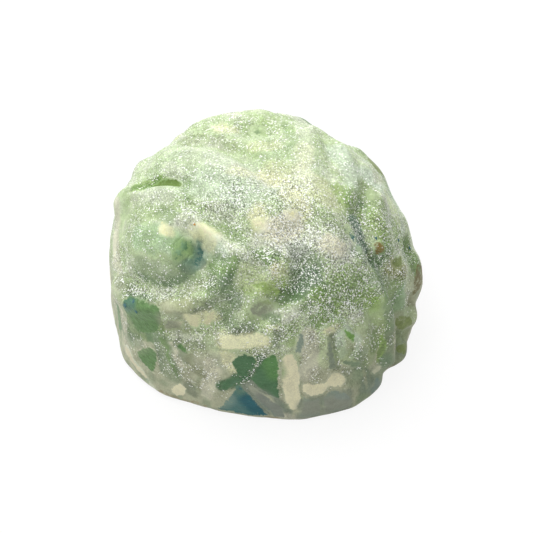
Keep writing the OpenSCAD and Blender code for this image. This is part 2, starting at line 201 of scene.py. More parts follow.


# Colours of the poured soap and of the dyes that bled into it, also used for painted light and shade
mint = linear("C8DAAC")
chalk = linear("F8F6DC")
dew = linear("E2F0C0")
ice = linear("D2E1C8")
frost = linear("E6EAD6")
cream = linear("F0EFC4")
pale = linear("D9D8C1")
tan = linear("C7C7A4")
sand = linear("BEC1A4")
taupe = linear("949A7B")
slate = linear("7E8972")
smoke = linear("838F80")
sage = linear("A5B889")
stone = linear("8EA081")
reed = linear("A9AD7C")
jade = linear("ABCDA4")
lime = linear("B4CC80")
leaf = linear("9DBC6C")
moss = linear("7B9A5E")
spruce = linear("5F805E")
pine = linear("4E7652")
deep_teal = linear("4F736C")
earth = linear("A39070")

# Washes in the poured soap, its own colours and also painted light and shade, pale over slopes that the
# folds shade and dark down grooves, hollows and undersides: colour, reach in millimetres, strength, and
# the path
washes_with_painted_light_and_shade = [
    # Crown, from the pit behind it to the left shoulder
    (ice, 9.0, 0.35, [(-173, 64), (-159, 75), (-103, 77), (-25, 83)]),
    (leaf, 6.0, 0.25, [(90, 70), (67, 69)]),
    (leaf, 5.0, 0.25, [(62, 87), (-13, 82)]),
    (moss, 2.6, 0.15, [(102, 73), (88, 76)]),
    (cream, 2.4, 0.35, [(105, 84), (62, 83)]),
    (cream, 2.2, 0.5, [(124, 69), (121, 73)]),
    (taupe, 2.2, 0.3, [(144, 60), (140, 66), (139, 75), (140, 79)]),
    (frost, 4.2, 0.35, [(172, 72), (-168, 81), (-90, 81)]),
    (cream, 2.8, 0.45, [(-133, 81), (-101, 84), (-63, 79)]),
    (sage, 3.0, 0.3, [(173, 70), (-178, 73)]),
    # Painted light: frost lifting a slope that the fold beside it shades.
    (frost, 2.0, 0.5, [(179, 64), (-174, 67)]),
    (ice, 4.4, 0.5, [(-150, 72), (-105, 74)]),
    (leaf, 3.2, 0.1, [(170, 58), (180, 65)]),
    (leaf, 1.8, 0.7, [(-178, 54), (-179, 57), (-177, 60), (-170, 64)]),
    (moss, 1.2, 0.7, [(-178, 53), (-178, 56), (-177, 60), (-172, 64)]),
    (moss, 1.0, 0.5, [(-161, 68), (-146, 66)]),
    (frost, 2.2, 0.4, [(-172, 53), (-165, 58), (-157, 62)]),
    (moss, 2.6, 0.2, [(180, 48), (-175, 48)]),
    (sage, 2.4, 0.5, [(-162, 53), (-154, 58), (-140, 62)]),
    (sage, 3.0, 0.25, [(-122, 66), (-102, 61)]),
    (moss, 1.6, 0.4, [(-131, 66), (-121, 67), (-108, 64), (-98, 60), (-92, 58)]),
    (cream, 2.2, 0.7, [(-128, 61), (-121, 61), (-116, 60)]),
    (frost, 2.4, 0.5, [(-126, 67), (-122, 67)]),
    (frost, 1.8, 0.6, [(-112, 60), (-98, 57), (-92, 56)]),
    (cream, 2.6, 0.7, [(-94, 69), (-90, 65)]),
    (frost, 3.4, 0.8, [(-90, 62), (-72, 59)]),
    # Painted light: frost and chalk lifting the slope beside the ridge out of its shade.
    (frost, 4.2, 0.85, [(-58, 60), (-50, 54)]),
    (chalk, 2.6, 0.9, [(-57, 57), (-53, 55)]),
    (sage, 2.6, 0.6, [(-57, 66), (-55, 62), (-46, 58)]),
    (cream, 3.4, 0.6, [(-63, 73), (-60, 68)]),
    # Painted light: chalk lifting a hollow among the folds out of its shade.
    (chalk, 3.4, 0.95, [(-82, 64), (-71, 65)]),
    (cream, 4.6, 0.45, [(-57, 84), (-36, 68)]),
    (frost, 2.8, 0.35, [(58, 68), (8, 79), (-41, 75)]),
    (cream, 2.4, 0.3, [(19, 78), (-14, 78)]),
    (sage, 2.6, 0.35, [(38, 78), (-20, 83)]),
    (moss, 1.2, 0.45, [(29, 81), (48, 77), (72, 70)]),
    # Grooves and lobes on the right of the crown; the deep teal and spruce down the grooves and the recess
    # are partly the soap's own green and partly painted shade
    (leaf, 1.8, 0.25, [(40, 70), (20, 70), (-2, 69), (-12, 66)]),
    (ice, 3.0, 0.8, [(20, 68), (-4, 65), (-12, 64)]),
    (leaf, 2.6, 0.6, [(-25, 67), (-28, 64)]),
    (moss, 2.0, 0.35, [(18, 54), (-4, 59), (-18, 60)]),
    (moss, 2.6, 0.4, [(-20, 63), (-29, 61)]),
    (ice, 3.2, 1.0, [(2, 60), (-5, 49), (-9, 44)]),
    (ice, 3.0, 0.6, [(26, 52), (14, 56)]),
    # Painted light: dew lifting a slope that turns away from the lamps.
    (dew, 3.0, 0.9, [(-3, 51), (-9, 46)]),
    (sage, 2.6, 0.8, [(-10, 61), (-15, 57)]),
    (sand, 2.0, 0.6, [(21, 53), (2, 56)]),
    (deep_teal, 2.2, 0.75, [(-33, 58), (-36, 55), (-38, 51)]),
    (spruce, 1.8, 0.5, [(-22, 59), (-24, 57)]),
    (spruce, 1.8, 0.5, [(-45, 52), (-43, 49)]),
    (leaf, 3.0, 0.25, [(-25, 57), (-28, 52)]),
    (sage, 2.6, 0.4, [(-22, 54), (-25, 48), (-29, 44)]),
    (moss, 1.6, 0.4, [(-22, 51), (-28, 48)]),
    (leaf, 2.6, 0.55, [(-15, 46), (-14, 41)]),
    (spruce, 2.6, 0.65, [(-36, 45), (-30, 46)]),
    (reed, 2.6, 0.8, [(-29, 41), (-25, 36)]),
    (moss, 2.0, 0.5, [(-41, 43), (-34, 38)]),
    (moss, 2.4, 0.6, [(-17, 37), (-10, 38)]),
    (moss, 3.2, 0.75, [(-8, 36), (-11, 29)]),
    (moss, 3.0, 0.45, [(-31, 34), (-28, 26)]),
    # Boss on the left, its hollow and its underside; stone and spruce under it are painted shade, and the
    # moss and deep teal in its hollow are partly its own green and partly painted shade
    (sage, 4.0, 0.5, [(-164, 49), (-158, 50)]),
    (sage, 2.4, 0.75, [(-154, 57), (-145, 59)]),
    (stone, 2.0, 0.4, [(-153, 58), (-143, 60)]),
    (frost, 2.0, 0.6, [(-138, 61), (-131, 62)]),
    (jade, 3.8, 0.5, [(-150, 50), (-144, 52), (-134, 54)]),
    (sage, 3.0, 0.3, [(-155, 56), (-150, 52), (-144, 50)]),
    (cream, 1.9, 0.8, [(-141, 56), (-140, 56)]),
    (moss, 2.6, 0.7, [(-130, 55), (-128, 52)]),
    (deep_teal, 2.2, 0.75, [(-125, 57), (-123, 54), (-124, 51)]),
    (stone, 3.0, 0.55, [(-144, 43), (-132, 46), (-126, 49)]),
    (stone, 2.0, 0.5, [(-132, 44), (-124, 48), (-118, 49)]),
    (spruce, 1.0, 0.4, [(-147, 41), (-140, 41), (-131, 43), (-124, 48)]),
    # Painted light: the pale band down the left rim is partly the soap's own pale colour and partly
    # painted rim light.
    (pale, 2.4, 0.7, [(180, 44), (-173, 40), (-163, 35), (-154, 32)]),
    (chalk, 2.0, 0.5, [(-172, 38), (-166, 33)]),
    (ice, 2.4, 0.8, [(-119, 58), (-108, 56)]),
    (cream, 1.8, 0.6, [(-121, 59), (-117, 58)]),
    # Ribbon, and the shade under it
    (frost, 1.2, 0.35, [(-149, 33), (-139, 38), (-127, 42)]),
    (stone, 2.4, 0.5, [(-156, 33), (-146, 32)]),
    (spruce, 1.2, 0.6, [(-148, 32), (-142, 34), (-134, 37)]),
    (taupe, 2.2, 0.55, [(-134, 36), (-126, 39), (-119, 40), (-113, 42)]),
    (taupe, 1.6, 0.6, [(-125, 36), (-120, 37), (-115, 39)]),
    (taupe, 1.9, 0.5, [(-122, 44), (-116, 47), (-112, 50)]),
    (moss, 3.0, 0.35, [(-106, 45), (-103, 39)]),
    (slate, 0.9, 0.65, [(-117, 39), (-111, 42), (-107, 45)]),
    (stone, 2.2, 0.6, [(-109, 48), (-105, 52)]),
    (slate, 2.0, 0.6, [(-118, 53), (-112, 51)]),
    (moss, 2.8, 0.65, [(-113, 54), (-104, 54)]),
    (spruce, 2.4, 0.5, [(-104, 50), (-101, 45)]),
    (frost, 1.4, 0.6, [(-124, 29), (-114, 32)]),
    (cream, 1.8, 0.7, [(-118, 37), (-114, 38), (-109, 40)]),
    (stone, 2.6, 0.6, [(-104, 40), (-99, 38), (-94, 38)]),
    (slate, 1.4, 0.6, [(-98, 37), (-94, 37)]),
    # Hollows in the middle of the front; the spruce, slate, stone and deep teal along the groove to their
    # right are painted shade
    (ice, 2.0, 0.6, [(-97, 54), (-91, 53), (-82, 52)]),
    (moss, 2.2, 0.75, [(-90, 58), (-84, 57)]),
    (cream, 1.9, 0.9, [(-84, 54), (-82, 53)]),
    (dew, 1.9, 0.8, [(-80, 53), (-78, 52)]),
    (reed, 1.0, 0.4, [(-83, 54), (-80, 53)]),
    (dew, 1.7, 0.9, [(-98, 53), (-93, 54), (-89, 52), (-86, 51)]),
    (lime, 2.4, 0.85, [(-95, 50), (-88, 49), (-82, 49)]),
    (spruce, 2.2, 0.6, [(-75, 52), (-75, 47)]),
    (spruce, 2.2, 0.7, [(-80, 47), (-74, 47)]),
    (spruce, 2.6, 0.8, [(-70, 50), (-67, 47)]),
    (taupe, 3.2, 0.2, [(-93, 43), (-86, 43)]),
    (stone, 1.8, 0.8, [(-88, 42), (-85, 41)]),
    (dew, 2.0, 0.7, [(-97, 52), (-94, 50)]),
    (dew, 2.0, 0.4, [(-89, 48), (-85, 48)]),
    (deep_teal, 2.6, 0.3, [(-72, 58), (-68, 55), (-66, 52)]),
    (stone, 3.0, 0.45, [(-69, 54), (-71, 45)]),
    (leaf, 3.0, 0.65, [(-67, 45), (-59, 38)]),
    (leaf, 4.6, 0.55, [(-56, 45), (-43, 37)]),
    (moss, 3.2, 0.45, [(-62, 45), (-54, 43), (-47, 43)]),
    (ice, 2.0, 0.5, [(-44, 42), (-42, 39)]),
    (leaf, 2.4, 0.35, [(-47, 41), (-42, 24)]),
    (spruce, 1.9, 0.5, [(-37, 46), (-37, 36), (-39, 23), (-42, 11)]),
    (slate, 1.6, 0.3, [(-84, 45), (-78, 47)]),
    (frost, 1.0, 0.35, [(-83, 42), (-79, 43), (-75, 44)]),
    (frost, 1.2, 0.8, [(-81, 40), (-77, 42)]),
    (moss, 2.2, 0.65, [(-69, 38), (-64, 40)]),
    (ice, 1.0, 0.8, [(-65, 40), (-60, 36), (-56, 30), (-53, 24), (-56, 21)]),
    (frost, 1.7, 0.55, [(-58, 38), (-53, 34)]),
    # Thin touches over the folds so far, from the ribbon to the right flank
    (moss, 2.0, 0.35, [(-112, 49), (-109.5, 46.5)]),
    (moss, 2.6, 0.35, [(-84.5, 46.5), (-78.5, 45.5), (-74.5, 44)]),
    (leaf, 3.0, 0.3, [(-67, 38.5), (-61.5, 36)]),
    (dew, 2.6, 0.4, [(-98, 51.5), (-91.5, 51.5)]),
    (lime, 2.8, 0.3, [(-25, 56), (-26, 51), (-28, 46)]),
    (jade, 2.4, 0.6, [(-27.5, 29), (-26, 24.5)]),
    (tan, 2.0, 0.4, [(-128, 38), (-119, 41.5)]),
    # Wall left of the middle
    (pale, 1.0, 0.7, [(-150, 21), (-148, 12), (-148, 7)]),
    (moss, 0.7, 0.7, [(-162, 24), (-158, 12), (-155, 5)]),
    (pale, 0.7, 0.8, [(-157, 28), (-152, 22), (-151, 12), (-150, 6)]),
    (slate, 2.0, 0.6, [(-147, 16), (-143, 20)]),
    (slate, 1.8, 0.6, [(-122, 27), (-118, 22)]),
    (slate, 1.6, 0.5, [(-118, 28), (-112, 30)]),
    (moss, 1.4, 0.6, [(-147, 17), (-140, 21), (-133, 24)]),
    (pale, 1.0, 0.6, [(-140, 18), (-137, 19)]),
    (moss, 1.0, 0.8, [(-129, 32), (-129.5, 27.5)]),
    (stone, 2.2, 0.5, [(-147, 14), (-139.5, 18.5)]),
    (spruce, 1.6, 0.6, [(-135, 23), (-130, 25)]),
    (taupe, 2.0, 0.5, [(-128, 31), (-120, 34)]),
    (stone, 3.6, 0.65, [(-128, 24), (-124, 14)]),
    (stone, 0.8, 0.6, [(-130, 22), (-129, 17), (-128, 13)]),
    (moss, 0.8, 0.7, [(-128, 25), (-125, 22), (-122, 14)]),
    (pale, 0.8, 0.8, [(-125, 26), (-122, 23), (-120, 18)]),
    (cream, 2.4, 0.8, [(-104, 33), (-90, 34)]),
    (taupe, 1.6, 0.2, [(-107, 33), (-111, 29), (-114, 25)]),
    (taupe, 2.0, 0.7, [(-116, 23), (-112, 23), (-113, 19)]),
    (taupe, 1.0, 0.5, [(-112, 19), (-113, 9)]),
    (pale, 1.8, 0.7, [(-109, 24), (-108, 17), (-110, 9)]),
    (pale, 1.4, 0.6, [(-106, 21), (-106, 14)]),
    (pale, 2.6, 0.4, [(-112, 24), (-106.5, 26.5), (-103, 25)]),
    (slate, 1.7, 0.7, [(-117, 11), (-115, 7)]),
    (cream, 1.9, 0.6, [(-103, 28), (-100, 23)]),
    (cream, 1.2, 0.4, [(-87, 38), (-85, 38)]),
    (frost, 0.9, 0.6, [(-148, 10), (-138, 5), (-130, 2)]),
    (stone, 0.9, 0.6, [(-143, 6), (-134, 3)]),
    (earth, 0.7, 0.6, [(-129, 2), (-124, 2), (-110, 2)]),
    # Wall round the dark leaves, where their colour bled into the seams
    (slate, 1.5, 0.2, [(-93, 30), (-87, 30)]),
    (pine, 1.5, 0.85, [(-95, 20), (-92, 24), (-90, 27)]),
    (pale, 0.6, 0.35, [(-95, 17), (-91, 15), (-86, 11)]),
    (smoke, 1.6, 0.8, [(-96, 16), (-92, 10), (-88, 4)]),
    (smoke, 1.2, 0.8, [(-94, 18), (-90, 16), (-86, 12), (-82, 7), (-81, 3)]),
    (pine, 1.9, 0.9, [(-104, 15), (-101, 17), (-97, 20)]),
    (earth, 0.7, 0.6, [(-90, 1), (-84, 1)]),
    # Painted light: pale along the foot, lifting the shade where the soap meets the floor.
    (pale, 1.4, 0.7, [(-82, 2), (-74, 1)]),
    # Wall right of the middle
    (dew, 3.0, 0.4, [(-67, 32), (-61, 28.5)]),
    (dew, 3.0, 0.4, [(-67, 24.5), (-61, 21.5)]),
    (slate, 1.1, 0.6, [(-85, 37), (-84, 32)]),
    (leaf, 1.6, 0.3, [(-82, 38), (-79, 33)]),
    (pale, 2.8, 0.8, [(-73, 34), (-73, 27), (-73, 21)]),
    (slate, 1.3, 0.7, [(-64, 32), (-64, 26), (-63, 19)]),
    (cream, 1.2, 0.6, [(-65, 34), (-62, 33)]),
    (ice, 1.6, 0.8, [(-61, 31), (-60, 24)]),
    (sage, 2.2, 0.55, [(-62, 25), (-55, 20)]),
    (pale, 0.6, 0.7, [(-61, 19), (-60, 16), (-58, 14)]),
    (stone, 2.2, 0.7, [(-52, 20), (-53, 3)]),
    (sage, 2.4, 0.6, [(-48, 29), (-47, 21), (-49, 16)]),
    (leaf, 1.1, 0.8, [(-43, 21), (-42, 15), (-44, 12)]),
    (stone, 3.0, 0.4, [(-57, 14), (-52, 9)]),
    (smoke, 2.4, 0.6, [(-52, 7), (-47, 3)]),
    (stone, 2.4, 0.5, [(-44, 6), (-40, 11)]),
    (tan, 0.7, 0.6, [(-52, 11), (-51, 7)]),
    (smoke, 1.8, 0.65, [(-76, 8), (-69, 8), (-60, 7)]),
    (smoke, 1.8, 0.65, [(-76, 3), (-69, 3), (-59, 3)]),
    (sage, 3.0, 0.3, [(-30, 28), (-25, 22)]),
    (mint, 2.4, 0.6, [(-22, 19), (-19, 15)]),
    (taupe, 2.6, 0.6, [(-35, 14), (-27, 12)]),
    (sage, 2.4, 0.5, [(-29, 12), (-23, 7)]),
    (stone, 3.0, 0.5, [(-36, 6), (-30, 5)]),
    (deep_teal, 2.6, 0.15, [(-50, 9), (-46, 4), (-42, 10)]),
    (spruce, 4.0, 0.15, [(-30, 26), (-24, 16), (-28, 8)]),
    (moss, 1.6, 0.4, [(-46, 24), (-46, 19)]),
    # Back, which the photograph does not show: the same colours, poured the same way
    (frost, 4.0, 0.5, [(60, 62), (88, 52), (118, 56)]),
    (moss, 2.4, 0.45, [(42, 46), (68, 40), (96, 43)]),
    (cream, 2.6, 0.5, [(108, 62), (132, 50)]),
    (jade, 3.2, 0.5, [(18, 36), (42, 30)]),
    (sage, 3.0, 0.5, [(126, 34), (152, 41)]),
    (pale, 2.0, 0.6, [(58, 13), (76, 9)]),
    (stone, 2.4, 0.6, [(18, 16), (46, 9)]),
    (taupe, 2.2, 0.6, [(98, 19), (126, 15)]),
    (moss, 0.8, 0.6, [(140, 26), (150, 8)]),
    (pale, 0.8, 0.7, [(30, 27), (34, 8)]),
]
wall_rise = (10 * MM, 24 * MM)
murk_size = 2.6 * MM
murk_depth = 0.5
murk_seed = 83.0
dark_streaks = 0.8
drift_size = 3.0 * MM
drift_reach = 0.9 * MM
crumble_size = 0.9 * MM
crumble_reach = 0.5 * MM


def stir(points, wavelength, seeds):
    """Smooth noise along each axis, to break up the edges of a colour."""
    return np.stack([ripple(points, wavelength, seed) for seed in seeds], axis=-1)


def poured_tint(azimuth, latitude):
    """Colour of the poured soap with its painted light and shade, the washes' edges broken up as soap
    sets.
    """
    bare = dome_point(azimuth, latitude)
    rise = smooth_step(bare[..., 2], *wall_rise)[..., None]
    tint = sand + (mint - sand) * rise
    murk = smooth_step(ripple(bare, murk_size, murk_seed), 0.0, 0.45)[..., None]
    tint = tint + (stone - tint) * murk_depth * murk * (1 - rise)
    drift = stir(bare, drift_size, (11.0, 23.0, 37.0))
    crumble = stir(bare, crumble_size, (41.0, 53.0, 67.0))
    stirred = bare + drift_reach * drift + crumble_reach * crumble
    drag = streaks(stirred)[..., None] * rise
    light = np.clip(drag, 0, 1)
    dark = np.clip(-dark_streaks * drag, 0, 1)
    tint = tint + (frost - tint) * light + (sage - tint) * dark
    for colour, reach, strength, places in washes_with_painted_light_and_shade:
        share = strength * smooth_step(nearness(stirred, places, reach * MM), 0, 0.5)
        tint = tint + (colour - tint) * share[..., None]
    return tint


# Mica and glitter: amount added or taken away, reach in millimetres, and the path
dustings = [
    (0.6, 15.0, [(-90, 72), (-70, 58), (-60, 46)]),
    (0.35, 2.0, [(-149, 33), (-139, 38), (-127, 42), (-119, 46), (-110, 49)]),
    (-0.5, 3.5, [(-57, 57), (-53, 55)]),
    (-0.25, 4.5, [(-146, 45), (-134, 48), (-126, 51)]),
    (-0.5, 8.0, [(-175, 44), (-168, 28)]),
    (0.4, 10.0, [(-35, 56), (-20, 44)]),
    (-0.3, 8.0, [(-42, 30), (-53, 27), (-63, 30)]),
    (-0.3, 3.0, [(-93, 42), (-86, 42)]),
    (0.25, 4.0, [(-95, 29), (-88, 29)]),
    (0.8, 1.4, [(-95, 20), (-92, 24), (-90, 27)]),
    (-0.25, 4.0, [(-147, 56), (-140, 55)]),
    (-0.35, 4.0, [(-132, 57), (-124, 55)]),
    (-0.4, 3.4, [(-127, 62), (-115, 60)]),
    (-0.4, 5.0, [(-94, 68), (-88, 64)]),
    (-0.5, 5.0, [(-144, 28), (-134, 30)]),
    (-0.4, 3.0, [(-126, 38), (-115, 40)]),
    (-0.3, 3.0, [(-79, 44), (-69, 47)]),
    (0.4, 4.0, [(-136, 63), (-130, 65)]),
]
crown_glitter = 0.42
glitter_patch = 3.5 * MM
patchiness = 0.6
grain_patch = 3.2 * MM
grain_begins = (2 * MM, 12 * MM)
grain_ends = (22 * MM, 30 * MM)
least_grain = 0.2
glitter_grain = 0.75
wall_grain = 0.4


def glitter_share(azimuth, latitude):
    """Share of the full amount of glitter, thick on the crown and patchy."""
    bare = dome_point(azimuth, latitude)
    share = crown_glitter * smooth_step(bare[..., 2], *crown_rise)
    for amount, reach, places in dustings:
        share = share + amount * smooth_step(nearness(bare, places, reach * MM), 0, 0.8)
    patchy = 1 + patchiness * ripple(bare, glitter_patch, 71.0)
    return np.clip(share * patchy, 0, 1)


def grain_share(azimuth, latitude):
    """Share of the fine salt and pepper of mica, painted as glints and as shade between flakes, which also
    peppers the upper wall in patches.
    """
    bare = dome_point(azimuth, latitude)
    rise = bare[..., 2]
    wall = smooth_step(rise, *grain_begins) * (1 - smooth_step(rise, *grain_ends))
    patches = smooth_step(ripple(bare, grain_patch, 29.0), -0.4, 0.3)
    share = least_grain + glitter_grain * glitter_share(azimuth, latitude) + wall_grain * wall * patches
    return np.clip(share, 0, 1)


def link_mesh(name, points, faces, smooth_faces):
    """A mesh object at the origin, its first faces shaded smooth and the rest flat."""
    mesh = bpy.data.meshes.new(name)
    mesh.from_pydata(np.asarray(points).tolist(), [], faces)
    mesh.polygons.foreach_set("use_smooth", [i < smooth_faces for i in range(len(faces))])
    piece = bpy.data.objects.new(name, mesh)
    bpy.context.collection.objects.link(piece)
    return piece


def paint(mesh, tint, poured, film, grain):
    """Stores the soap's colour, with painted light and shade on the base, the poured film over it and the
    grain of mica, painted as glints and shade, on the vertices.
    """
    for name, colour in (("tint", tint), ("poured", poured)):
        layer = mesh.attributes.new(name, "FLOAT_COLOR", "POINT")
        layer.data.foreach_set("color", np.c_[colour, np.ones(len(colour))].ravel())
    for name, value in (("film", film), ("grain", grain)):
        layer = mesh.attributes.new(name, "FLOAT", "POINT")
        layer.data.foreach_set("value", value)


def add_node(tree, kind, settings, inputs):
    """A node with its settings and its inputs, each a value or another node's output."""
    node = tree.nodes.new(kind)
    for name, value in settings.items():
        setattr(node, name, value)
    for name, value in inputs.items():
        if isinstance(value, bpy.types.NodeSocket):
            tree.links.new(value, node.inputs[name])
        else:
            node.inputs[name].default_value = value
    return node


def new_material(name):
    """A material with its node tree and its shader."""
    material = bpy.data.materials.new(name)
    material.use_nodes = True
    return material, material.node_tree, material.node_tree.nodes["Principled BSDF"]


def stored(tree, name):
    """What paint or the glitter stored on the mesh under that name."""
    return add_node(tree, "ShaderNodeAttribute", {"attribute_name": name}, {}).outputs


def clouding(tree, place, scale, detail, roughness):
    """Cloudy noise from 0 to 1."""
    return add_node(tree, "ShaderNodeTexNoise", {}, {"Vector": place, "Scale": scale, "Detail": detail,
                                                     "Roughness": roughness}).outputs["Fac"]


def remapped(tree, value, old, new, settings):
    """The value, with its old range stretched to the new one."""
    return add_node(tree, "ShaderNodeMapRange", settings,
                    {"Value": value, "From Min": old[0], "From Max": old[1], "To Min": new[0],
                     "To Max": new[1]}).outputs["Result"]


def scaled(tree, colour, factor):
    return add_node(tree, "ShaderNodeVectorMath", {"operation": "SCALE"},
                    {"Vector": colour, "Scale": factor}).outputs["Vector"]


def mixed_colour(tree, share, under, over):
    return add_node(tree, "ShaderNodeMix", {"data_type": "RGBA"}, {0: share, 6: under, 7: over}).outputs[2]


# Soap's surface: noise scales per metre, the painted shade of its dark mica flecks and the share of white
# ones painted as glints, and its shine and glow
crumbs_per_metre = 900.0
flecks_per_metre = 4600.0
pores_per_metre = 2200.0
pore_depth = 0.4 * MM
fleck_painted_shade = (0.15, 1.15)
most_painted_glints = 0.22
painted_mica_glint = (0.95, 0.97, 0.92, 1)
soap_sheen = 0.2
glow_reach = 0.8 * MM
glow_share = (1.0, 1.1, 0.8)


def soap_material(name, roughness, translucency, cloud_scale, cloud_depth):
    """Cast soap: its tint under a crumbly film, clouded and streaked, with fine mica flecks painted in:
    dark ones as painted shade between flakes, white ones as painted glints.
    """
    material, tree, shader = new_material(name)
    place = add_node(tree, "ShaderNodeTexCoord", {}, {}).outputs["Object"]
    crumbs = clouding(tree, place, crumbs_per_metre, 4.0, 0.75)
    torn = remapped(tree, crumbs, (0.3, 0.7), (0.0, 1.0), {"clamp": False})
    film = stored(tree, "film")["Fac"]
    frayed = add_node(tree, "ShaderNodeMath", {"operation": "ADD"}, {0: film, 1: torn})
    cover = remapped(tree, frayed.outputs["Value"], (0.8, 1.2), (0.0, 1.0),
                     {"interpolation_type": "SMOOTHSTEP"})
    filmed = mixed_colour(tree, cover, stored(tree, "tint")["Color"], stored(tree, "poured")["Color"])
    turned = add_node(tree, "ShaderNodeMapping", {}, {"Vector": place, "Scale": cloud_scale})
    cloud = clouding(tree, turned.outputs["Vector"], 1.0, 5.0, 0.6)
    shade = remapped(tree, cloud, (0.25, 0.75), (1 - cloud_depth, 1 + 0.7 * cloud_depth), {})
    clouded = scaled(tree, filmed, shade)

    # Mica flecks in the colour: dark ones are painted shade between flakes, white ones are painted glints.
    grain = stored(tree, "grain")["Fac"]
    flecks = add_node(tree, "ShaderNodeTexVoronoi", {}, {"Vector": place, "Scale": flecks_per_metre})
    lot = add_node(tree, "ShaderNodeSeparateColor", {}, {"Color": flecks.outputs["Color"]}).outputs
    dark = remapped(tree, lot["Green"], (0.0, 1.0), fleck_painted_shade, {})
    pepper = add_node(tree, "ShaderNodeMix", {"data_type": "FLOAT"}, {0: grain, 2: 1.0, 3: dark})
    peppered = scaled(tree, clouded, pepper.outputs[0])
    richness = remapped(tree, grain, (0.0, 1.0), (1.0, 1.15), {})
    rich = add_node(tree, "ShaderNodeHueSaturation", {}, {"Color": peppered, "Saturation": richness})
    often = remapped(tree, grain, (0.25, 1.0), (0.0, most_painted_glints), {})
    chosen = add_node(tree, "ShaderNodeMath", {"operation": "LESS_THAN"}, {0: lot["Red"], 1: often})
    dust_and_glints = mixed_colour(tree, chosen.outputs["Value"], rich.outputs["Color"], painted_mica_glint)
    tree.links.new(dust_and_glints, shader.inputs["Base Color"])

    pores = clouding(tree, place, pores_per_metre, 3.0, 0.5)
    bump = add_node(tree, "ShaderNodeBump", {}, {"Height": pores, "Strength": 0.4, "Distance": pore_depth})
    tree.links.new(bump.outputs["Normal"], shader.inputs["Normal"])
    shader.inputs["Roughness"].default_value = roughness
    shader.inputs["Subsurface Weight"].default_value = translucency
    shader.inputs["Subsurface Radius"].default_value = glow_share
    shader.inputs["Subsurface Scale"].default_value = glow_reach
    shader.inputs["Specular IOR Level"].default_value = soap_sheen
    return material


turns = np.arange(columns) * 360 / columns
climbs = np.arange(rings) * 90 / rings
net = np.stack(np.meshgrid(turns, climbs), axis=-1).reshape(-1, 2)
net = np.concatenate([net, [(0.0, 90.0)]])
points = np.concatenate([skin(net[:, 0], net[:, 1]), np.zeros((1, 3))])
crown = len(points) - 2
foot_middle = len(points) - 1
faces = []
for ring in range(rings - 1):
    low = ring * columns
    for column in range(columns):
        beside = (column + 1) % columns
        faces.append((low + column, low + beside, low + columns + beside, low + columns + column))
for column in range(columns):
    beside = (column + 1) % columns
    top = (rings - 1) * columns
    faces.append((top + column, top + beside, crown))
skin_faces = len(faces)
for column in range(columns):
    faces.append(((column + 1) % columns, column, foot_middle))
base = link_mesh("poured_base", points, faces, skin_faces)
tint = np.concatenate([poured_tint(net[:, 0], net[:, 1]), [sand]])
paint(base.data, tint, tint, np.zeros(len(tint)), np.append(grain_share(net[:, 0], net[:, 1]), 0))
flakes_layer = base.data.attributes.new("flakes", "FLOAT", "POINT")
flakes_layer.data.foreach_set("value", np.append(glitter_share(net[:, 0], net[:, 1]), 0))
base.data.materials.append(soap_material("mint_soap", 0.5, 0.2, (420, 420, 420), 0.26))
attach(base, "root")
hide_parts("soap_base")


# Leaf green pieces: shavings and wedges cut from an older, clear green soap with a knife's fine streaks.
# They were laid against the mould before the pour, so their faces lie flush, under a film at the edges.
leaf_green = linear("6C8E5B")
leaf_green_outlines = {
    "left_rim_green": [(-166, 22), (-157, 26), (-155, 20), (-154, 12), (-160, 7), (-166, 9)],
    "left_leaf": [(-149.5, 27), (-148, 31.5), (-143, 34), (-132, 36.7), (-129, 36.5), (-128.5, 33),
                  (-130.5, 27.5), (-135.5, 24), (-140, 22), (-144.5, 18.5), (-148, 20.5)],
    "left_wedge": [(-141.5, 12.5), (-138.5, 16), (-134.5, 19.5), (-131.5, 20), (-130.5, 17),
                   (-131, 8.7), (-136.5, 9.7), (-139.5, 10.7)],
    "green_sliver": [(-123, 26.7), (-119.5, 27.6), (-116.5, 25), (-117.5, 24.3), (-121.5, 25.4)],
    "ring_leaf": [(-59, 32.5), (-56.5, 31.5), (-54.2, 28), (-54.5, 26), (-56, 26.5), (-58.3, 29.5)],
    "edge_green": [(-41.5, 20.5), (-40.8, 18.5), (-41.5, 16), (-43.2, 13.7), (-45.3, 13.7), (-45, 16),
                   (-43, 18)],
    "side_wedge": [(12, 20), (24, 22), (26, 9), (14, 8)],
    "back_left_leaf": [(150, 34), (160, 36), (164, 24), (153, 20)],
}
leaf_green_on_folds = {
    "hollow_green": [(-95, 50), (-93.5, 51), (-88, 50.8), (-82, 48.7), (-83, 47), (-85, 47.3),
                     (-91.5, 49)],
    "back_crown_green": [(60, 57), (72, 59), (74, 51), (62, 50)],
}
piece_thickness = 1.6 * MM
piece_lift = 0.05 * MM
rim_depth = 0.05 * MM
piece_grain = 0.4
lowest_latitude = 2

# Outlines are laid flat, in millimetres, and each corner loses a share of both its sides
mm_per_degree = 0.65
piece_spacing = 0.36
edge_clearance = 0.6 * piece_spacing
corner_cut = 0.12
wear_size = 1.3
wear_depth = 0.2
colour_bleed = 0.35
rim_width = 1e-4
weld_gap = 1e-6


def outline_gap(spots, outline):
    """Distance of each spot from the closed outline, in the outline's own units."""
    gap = np.full(len(spots), np.inf)
    for start, end in zip(outline, np.roll(outline, -1, axis=0)):
        along = end - start
        share = np.clip((spots - start) @ along / (along @ along), 0, 1)
        gap = np.minimum(gap, np.linalg.norm(spots - start - share[:, None] * along, axis=1))
    return gap


